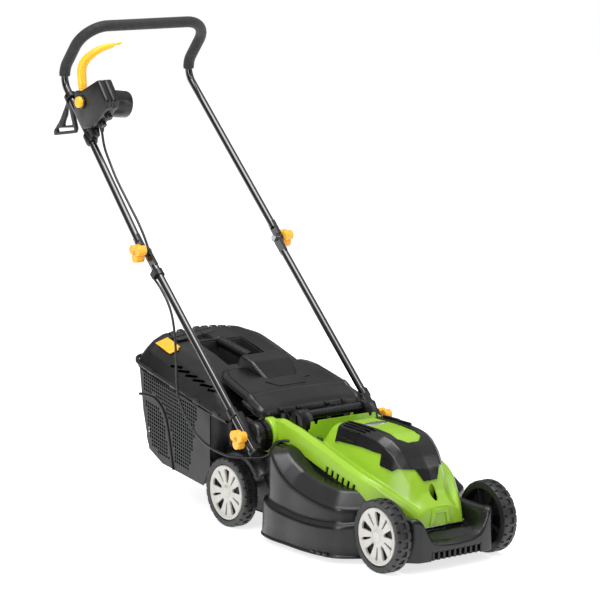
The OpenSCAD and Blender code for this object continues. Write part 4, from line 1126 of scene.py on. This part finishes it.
button_profile = [(0, -32.5), (10.5, -32.5), (12.6, -31.6), (13.4, -29.5), (13.4, -12.4), (0, -12.4)]
button = revolve("lock_button_piece", button_profile, (BOX_X, BUTTON_Y, BUTTON_Z), (1, 0, 0), 48, False)
finish_piece(button, "button_unit", YELLOW, ["lock_button"])

# Bail lever: a flat bar that narrows to a neck and a small bulb
lever_corners = [(BOX_X, LEVER_Y, 940), (BOX_X, 1129, 1010), (-158, 1090, 1046), (-105, 1072, 1059)]
lever_line = arc_corners([Vector(p) for p in lever_corners], [0, 46, 60, 0], 12)
root = [lever_line[0].lerp(lever_line[1], k / 8) for k in range(8)]
tip = [lever_line[-2].lerp(lever_line[-1], k / 16) for k in range(1, 17)]
lever_line = root + lever_line[1:-1] + tip
lever_size = [(0, 10.5), (0.12, 11.5), (0.3, 12.2), (0.5, 11.6), (0.72, 9.4), (0.87, 7.0), (0.885, 6.2),
              (0.905, 2.6), (0.93, 2.6), (0.95, 4.0), (0.98, 4.0), (1.0, 1.6)]  # share of length, radius
run = [0.0]
for a, b in zip(lever_line, lever_line[1:]):
    run.append(run[-1] + (b - a).length)
lever_radii = [table(lever_size, d / run[-1])[0] for d in run]
lever = tube("bail_lever_arm", lever_line, lever_radii, 20, True, 0.72)
hub_profile = [(3.2, -6), (9, -6), (10, -5), (10, 5), (9, 6), (3.2, 6)]
lever_hub = revolve("h", hub_profile, (BOX_X, LEVER_Y, LEVER_Z), (1, 0, 0), 36)
lever_collar = [moved_block("k", (15 - k * 1.5, 13, 2.2), (BOX_X, LEVER_Y + 0.5, 953 + k * 5), Matrix.Identity(3))
                for k in range(3)]
lever = join("bail_lever_arm", [lever, lever_hub, bevel(join("k", lever_collar), 0.6, 1)])
finish_piece(lever, "lever_unit", YELLOW, ["bail_lever"])

# Cord hook: a slotted loop on a collar round the tube
HOOK_Y, HOOK_Z = 1181, 925


def loop2d(points, radius, steps=4):
    """A rounded outline, from points given from the hook's pivot."""
    corners = [Vector((HOOK_Y + y, HOOK_Z + z, 0)) for y, z in points]
    return [(p.x, p.y) for p in round_corners(corners, radius, steps, True)]


hook_outline = loop2d([(-14, -12), (12, -8), (20, -22), (48, -62), (76, -88), (74, -99), (-24, -85),
                       (-30, -74), (-20, -50)], 7)
hook_holes = [loop2d([(-12, -66), (4, -26), (14, -28), (16, -44), (28, -62), (30, -72)], 4),
              loop2d([(-19, -78), (58, -89), (62, -82), (52, -79), (-17, -72)], 2.5)]
hook = sheet_with_holes("hook_loop", hook_outline, hook_holes, lambda y, z: (-182.6, y, z), 7)
bevel(hook, 1.6, 2, 40)
hook_at = on_tube(473.8)
hook_ring = [(11.4, -7), (14.5, -7), (16, -5), (16, 5), (14.5, 7), (11.4, 7)]
hook = join("hook_loop", [hook, revolve("r", hook_ring, hook_at, tube_dir, 40)])
finish_piece(hook, "hook_unit", BLACK, ["cord_hook"])

# ------------------------------------------------------------------ knobs


def knob(name, side, x0, x1, y, z, node, turn):
    """A three-lobed knob between x0 and x1 on a bolt at y, z."""
    outline = []
    for a in turns(72):
        lobe = max(0.0, math.cos(1.5 * math.remainder(a - turn, 2 * math.pi / 3)))
        r = 12.0 + 11.8 * lobe ** 0.9
        outline.append((y + r * math.cos(a), z + r * math.sin(a)))
    lo, hi = sorted((side * x0, side * x1))
    piece = bevel(prism(name, outline, "x", lo, hi), 3.2, 3, 40)
    face, axis = (side * x1, y, z), (side, 0, 0)
    boolean(piece, revolve("c", [(0, -3), (5.5, -3), (7.5, 4), (0, 4)], face, axis, 32))
    boolean(piece, revolve("b", [(0, -40), (4.1, -40), (4.1, 10), (0, 10)], face, axis, 24))
    finish_piece(piece, node + "_unit", ORANGE, [node])


for side, name in ((-1, "right"), (1, "left")):
    knob("knob_base_" + name, side, 196, 215, PIVOT_Y, PIVOT_Z, "knob_pivot_" + name, -math.pi / 2)
    knob("knob_fold_" + name, side, 199.4, 222, FOLD_Y, FOLD_Z, "knob_mid_" + name, math.pi / 6)

# ------------------------------------------------------------------ cable

CABLE_R = 3.0
UPPER_ROUTE = [(-168, 1066, 866), (-168, 1064, 846), (-167, 1055, 812), (-168, 1030, 778), (-170, 1000, 744),
               (-171, 966, 711), (-172, 936, 683), (-172, 905, 652), (-172, 880, 622), (-172, 864, 598)]
JOINT_POINT = (-172, 858, 590)
LOWER_ROUTE = [(-172, 850, 578), (-176, 838, 562), (-186, 822, 546), (-198, 800, 536), (-202, 780, 527),
               (-203, 760, 513), (-204, 735, 490), (-205, 717, 465), (-206, 706, 436), (-206, 700, 400),
               (-206, 697, 350), (-206, 695, 310), (-206, 688, 272), (-206, 664, 236), (-206, 630, 206),
               (-205, 585, 184), (-202, 536, 172), (-196, 500, 168), (-182, 472, 167), (-164, 452, 169),
               (-152, 430, 173), (-146, 412, 184), (-144, 403, 202), (-138, 390, 213), (-126, 372, 217),
               (-114, 356, 215)]


def cable(name, route, body, replaced, other, start, end):
    """A run of cable along the route, baked in place; body, other, start and end are not used."""
    piece = tube(name, smooth_line([Vector(p) for p in route], 6), CABLE_R, 12)
    blend = (other, tuple(pt(*start)), tuple(pt(*end)))
    finish_piece(piece, body, SHEATH, replaced, blend=blend)


cable("cable_upper_run", UPPER_ROUTE + [JOINT_POINT], "handle_lower", ["cable_upper"],
      "handle_upper", JOINT_POINT, (-172, 905, 652))
cable("cable_lower_run", [JOINT_POINT] + LOWER_ROUTE, "chassis", ["cable_lower", "cable_tail"],
      "handle_lower", (-202, 540, 173), (-203, 760, 513))

# ------------------------------------------------------------------ CAD nodes that stay

KEPT = {
    STEEL: ["pivot_bolts", "cowl_screws", "front_axle", "front_wheel_nuts", "rear_axle",
            "rear_wheel_nuts", "motor_can", "motor_rotor", "mid_bolts", "lever_pin", "blade_bolt"],
    GREY_WIRE: ["flap_pin", "flap_springs"],
    BLADE: ["blade"],
    BRASS: ["plug_pins"],
    COPPER: ["motor_stator"],
    BLACK: ["blade_carrier", "cable_clip"],
    INSIDE: ["switch_unit"],
    TUBE: ["lower_tube_right", "lower_tube_left"],
}
for material, names in KEPT.items():
    for name in names:
        mesh = nodes[name].data
        mesh.materials.clear()
        mesh.materials.append(material)

# ------------------------------------------------------------------ stage, light and camera

floor_mesh = bpy.data.meshes.new("floor")
FLOOR_HALF = 9  # metres
corners = [(x * FLOOR_HALF, y * FLOOR_HALF, 0) for x, y in ((-1, -1), (1, -1), (1, 1), (-1, 1))]
floor_mesh.from_pydata(corners, [], [(0, 1, 2, 3)])
floor = bpy.data.objects.new("floor", floor_mesh)
bpy.context.scene.collection.objects.link(floor)
pale = Nodes("pale_floor")
pale.drive("Base Color", pale.ramp(pale.noise(1.5), [(0.3, srgb(226, 227, 229)), (0.7, srgb(230, 231, 233))]))
pale.fix("Roughness", 0.55)
pale.fix("Emission Color", (1.0, 1.0, 1.0, 1.0))
pale.fix("Emission Strength", 0.74)
floor_mesh.materials.append(pale.mat)

world = bpy.data.worlds.new("studio")
bpy.context.scene.world = world
world.use_nodes = True
sky = world.node_tree
sky_coords = sky.nodes.new("ShaderNodeTexCoord")
sky_split = sky.nodes.new("ShaderNodeSeparateXYZ")
sky_ramp = sky.nodes.new("ShaderNodeValToRGB")
# Brightness against height: white from below for the sheen, dark at the sides, bright overhead
levels = [(0.02, 1.0), (0.07, 0.16), (0.42, 0.14), (0.62, 0.80), (1.0, 0.56)]
while len(sky_ramp.color_ramp.elements) < len(levels):
    sky_ramp.color_ramp.elements.new(0.5)
for element, (at, level) in zip(sky_ramp.color_ramp.elements, levels):
    element.position = at
    element.color = (level, level, level * 1.01, 1.0)
sky.links.new(sky_coords.outputs["Generated"], sky_split.inputs["Vector"])
sky.links.new(sky_split.outputs["Z"], sky_ramp.inputs["Fac"])
sky.links.new(sky_ramp.outputs["Color"], sky.nodes["Background"].inputs["Color"])
sky.nodes["Background"].inputs["Strength"].default_value = 1.0


def area_light(name, place, aim, size, energy):
    data = bpy.data.lights.new(name, "AREA")
    data.shape = "RECTANGLE"
    data.size, data.size_y = size
    data.energy = energy
    light = bpy.data.objects.new(name, data)
    light.location = place
    light.rotation_euler = (Vector(aim) - Vector(place)).to_track_quat("-Z", "Y").to_euler()
    bpy.context.scene.collection.objects.link(light)


area_light("softbox_top", (-0.4, -0.3, 3.4), (0, 0, 0.2), (1.8, 1.8), 84)
area_light("softbox_left", (-3.0, -1.6, 2.2), (0, 0.1, 0.5), (0.7, 2.6), 56)
area_light("softbox_right", (2.6, -2.2, 1.8), (0, 0, 0.4), (0.7, 2.0), 17)

# Camera at the photograph's viewing angle
AZIMUTH, ELEVATION = math.radians(-36.27), math.radians(9.76)
DISTANCE, LENS = 6045.2, 166.13
TARGET = Vector((-149.9, 292.1, 549.0))
toward = Vector((math.sin(AZIMUTH) * math.cos(ELEVATION), -math.cos(AZIMUTH) * math.cos(ELEVATION),
                 math.sin(ELEVATION)))
camera_data = bpy.data.cameras.new("camera")
camera_data.lens = LENS
camera_data.sensor_width = 36.0
camera = bpy.data.objects.new("camera", camera_data)
camera.location = pt(*(TARGET + toward * DISTANCE))
camera.rotation_euler = (-toward).to_track_quat("-Z", "Y").to_euler()
bpy.context.scene.collection.objects.link(camera)
bpy.context.scene.camera = camera
bpy.context.scene.view_settings.view_transform = "Standard"
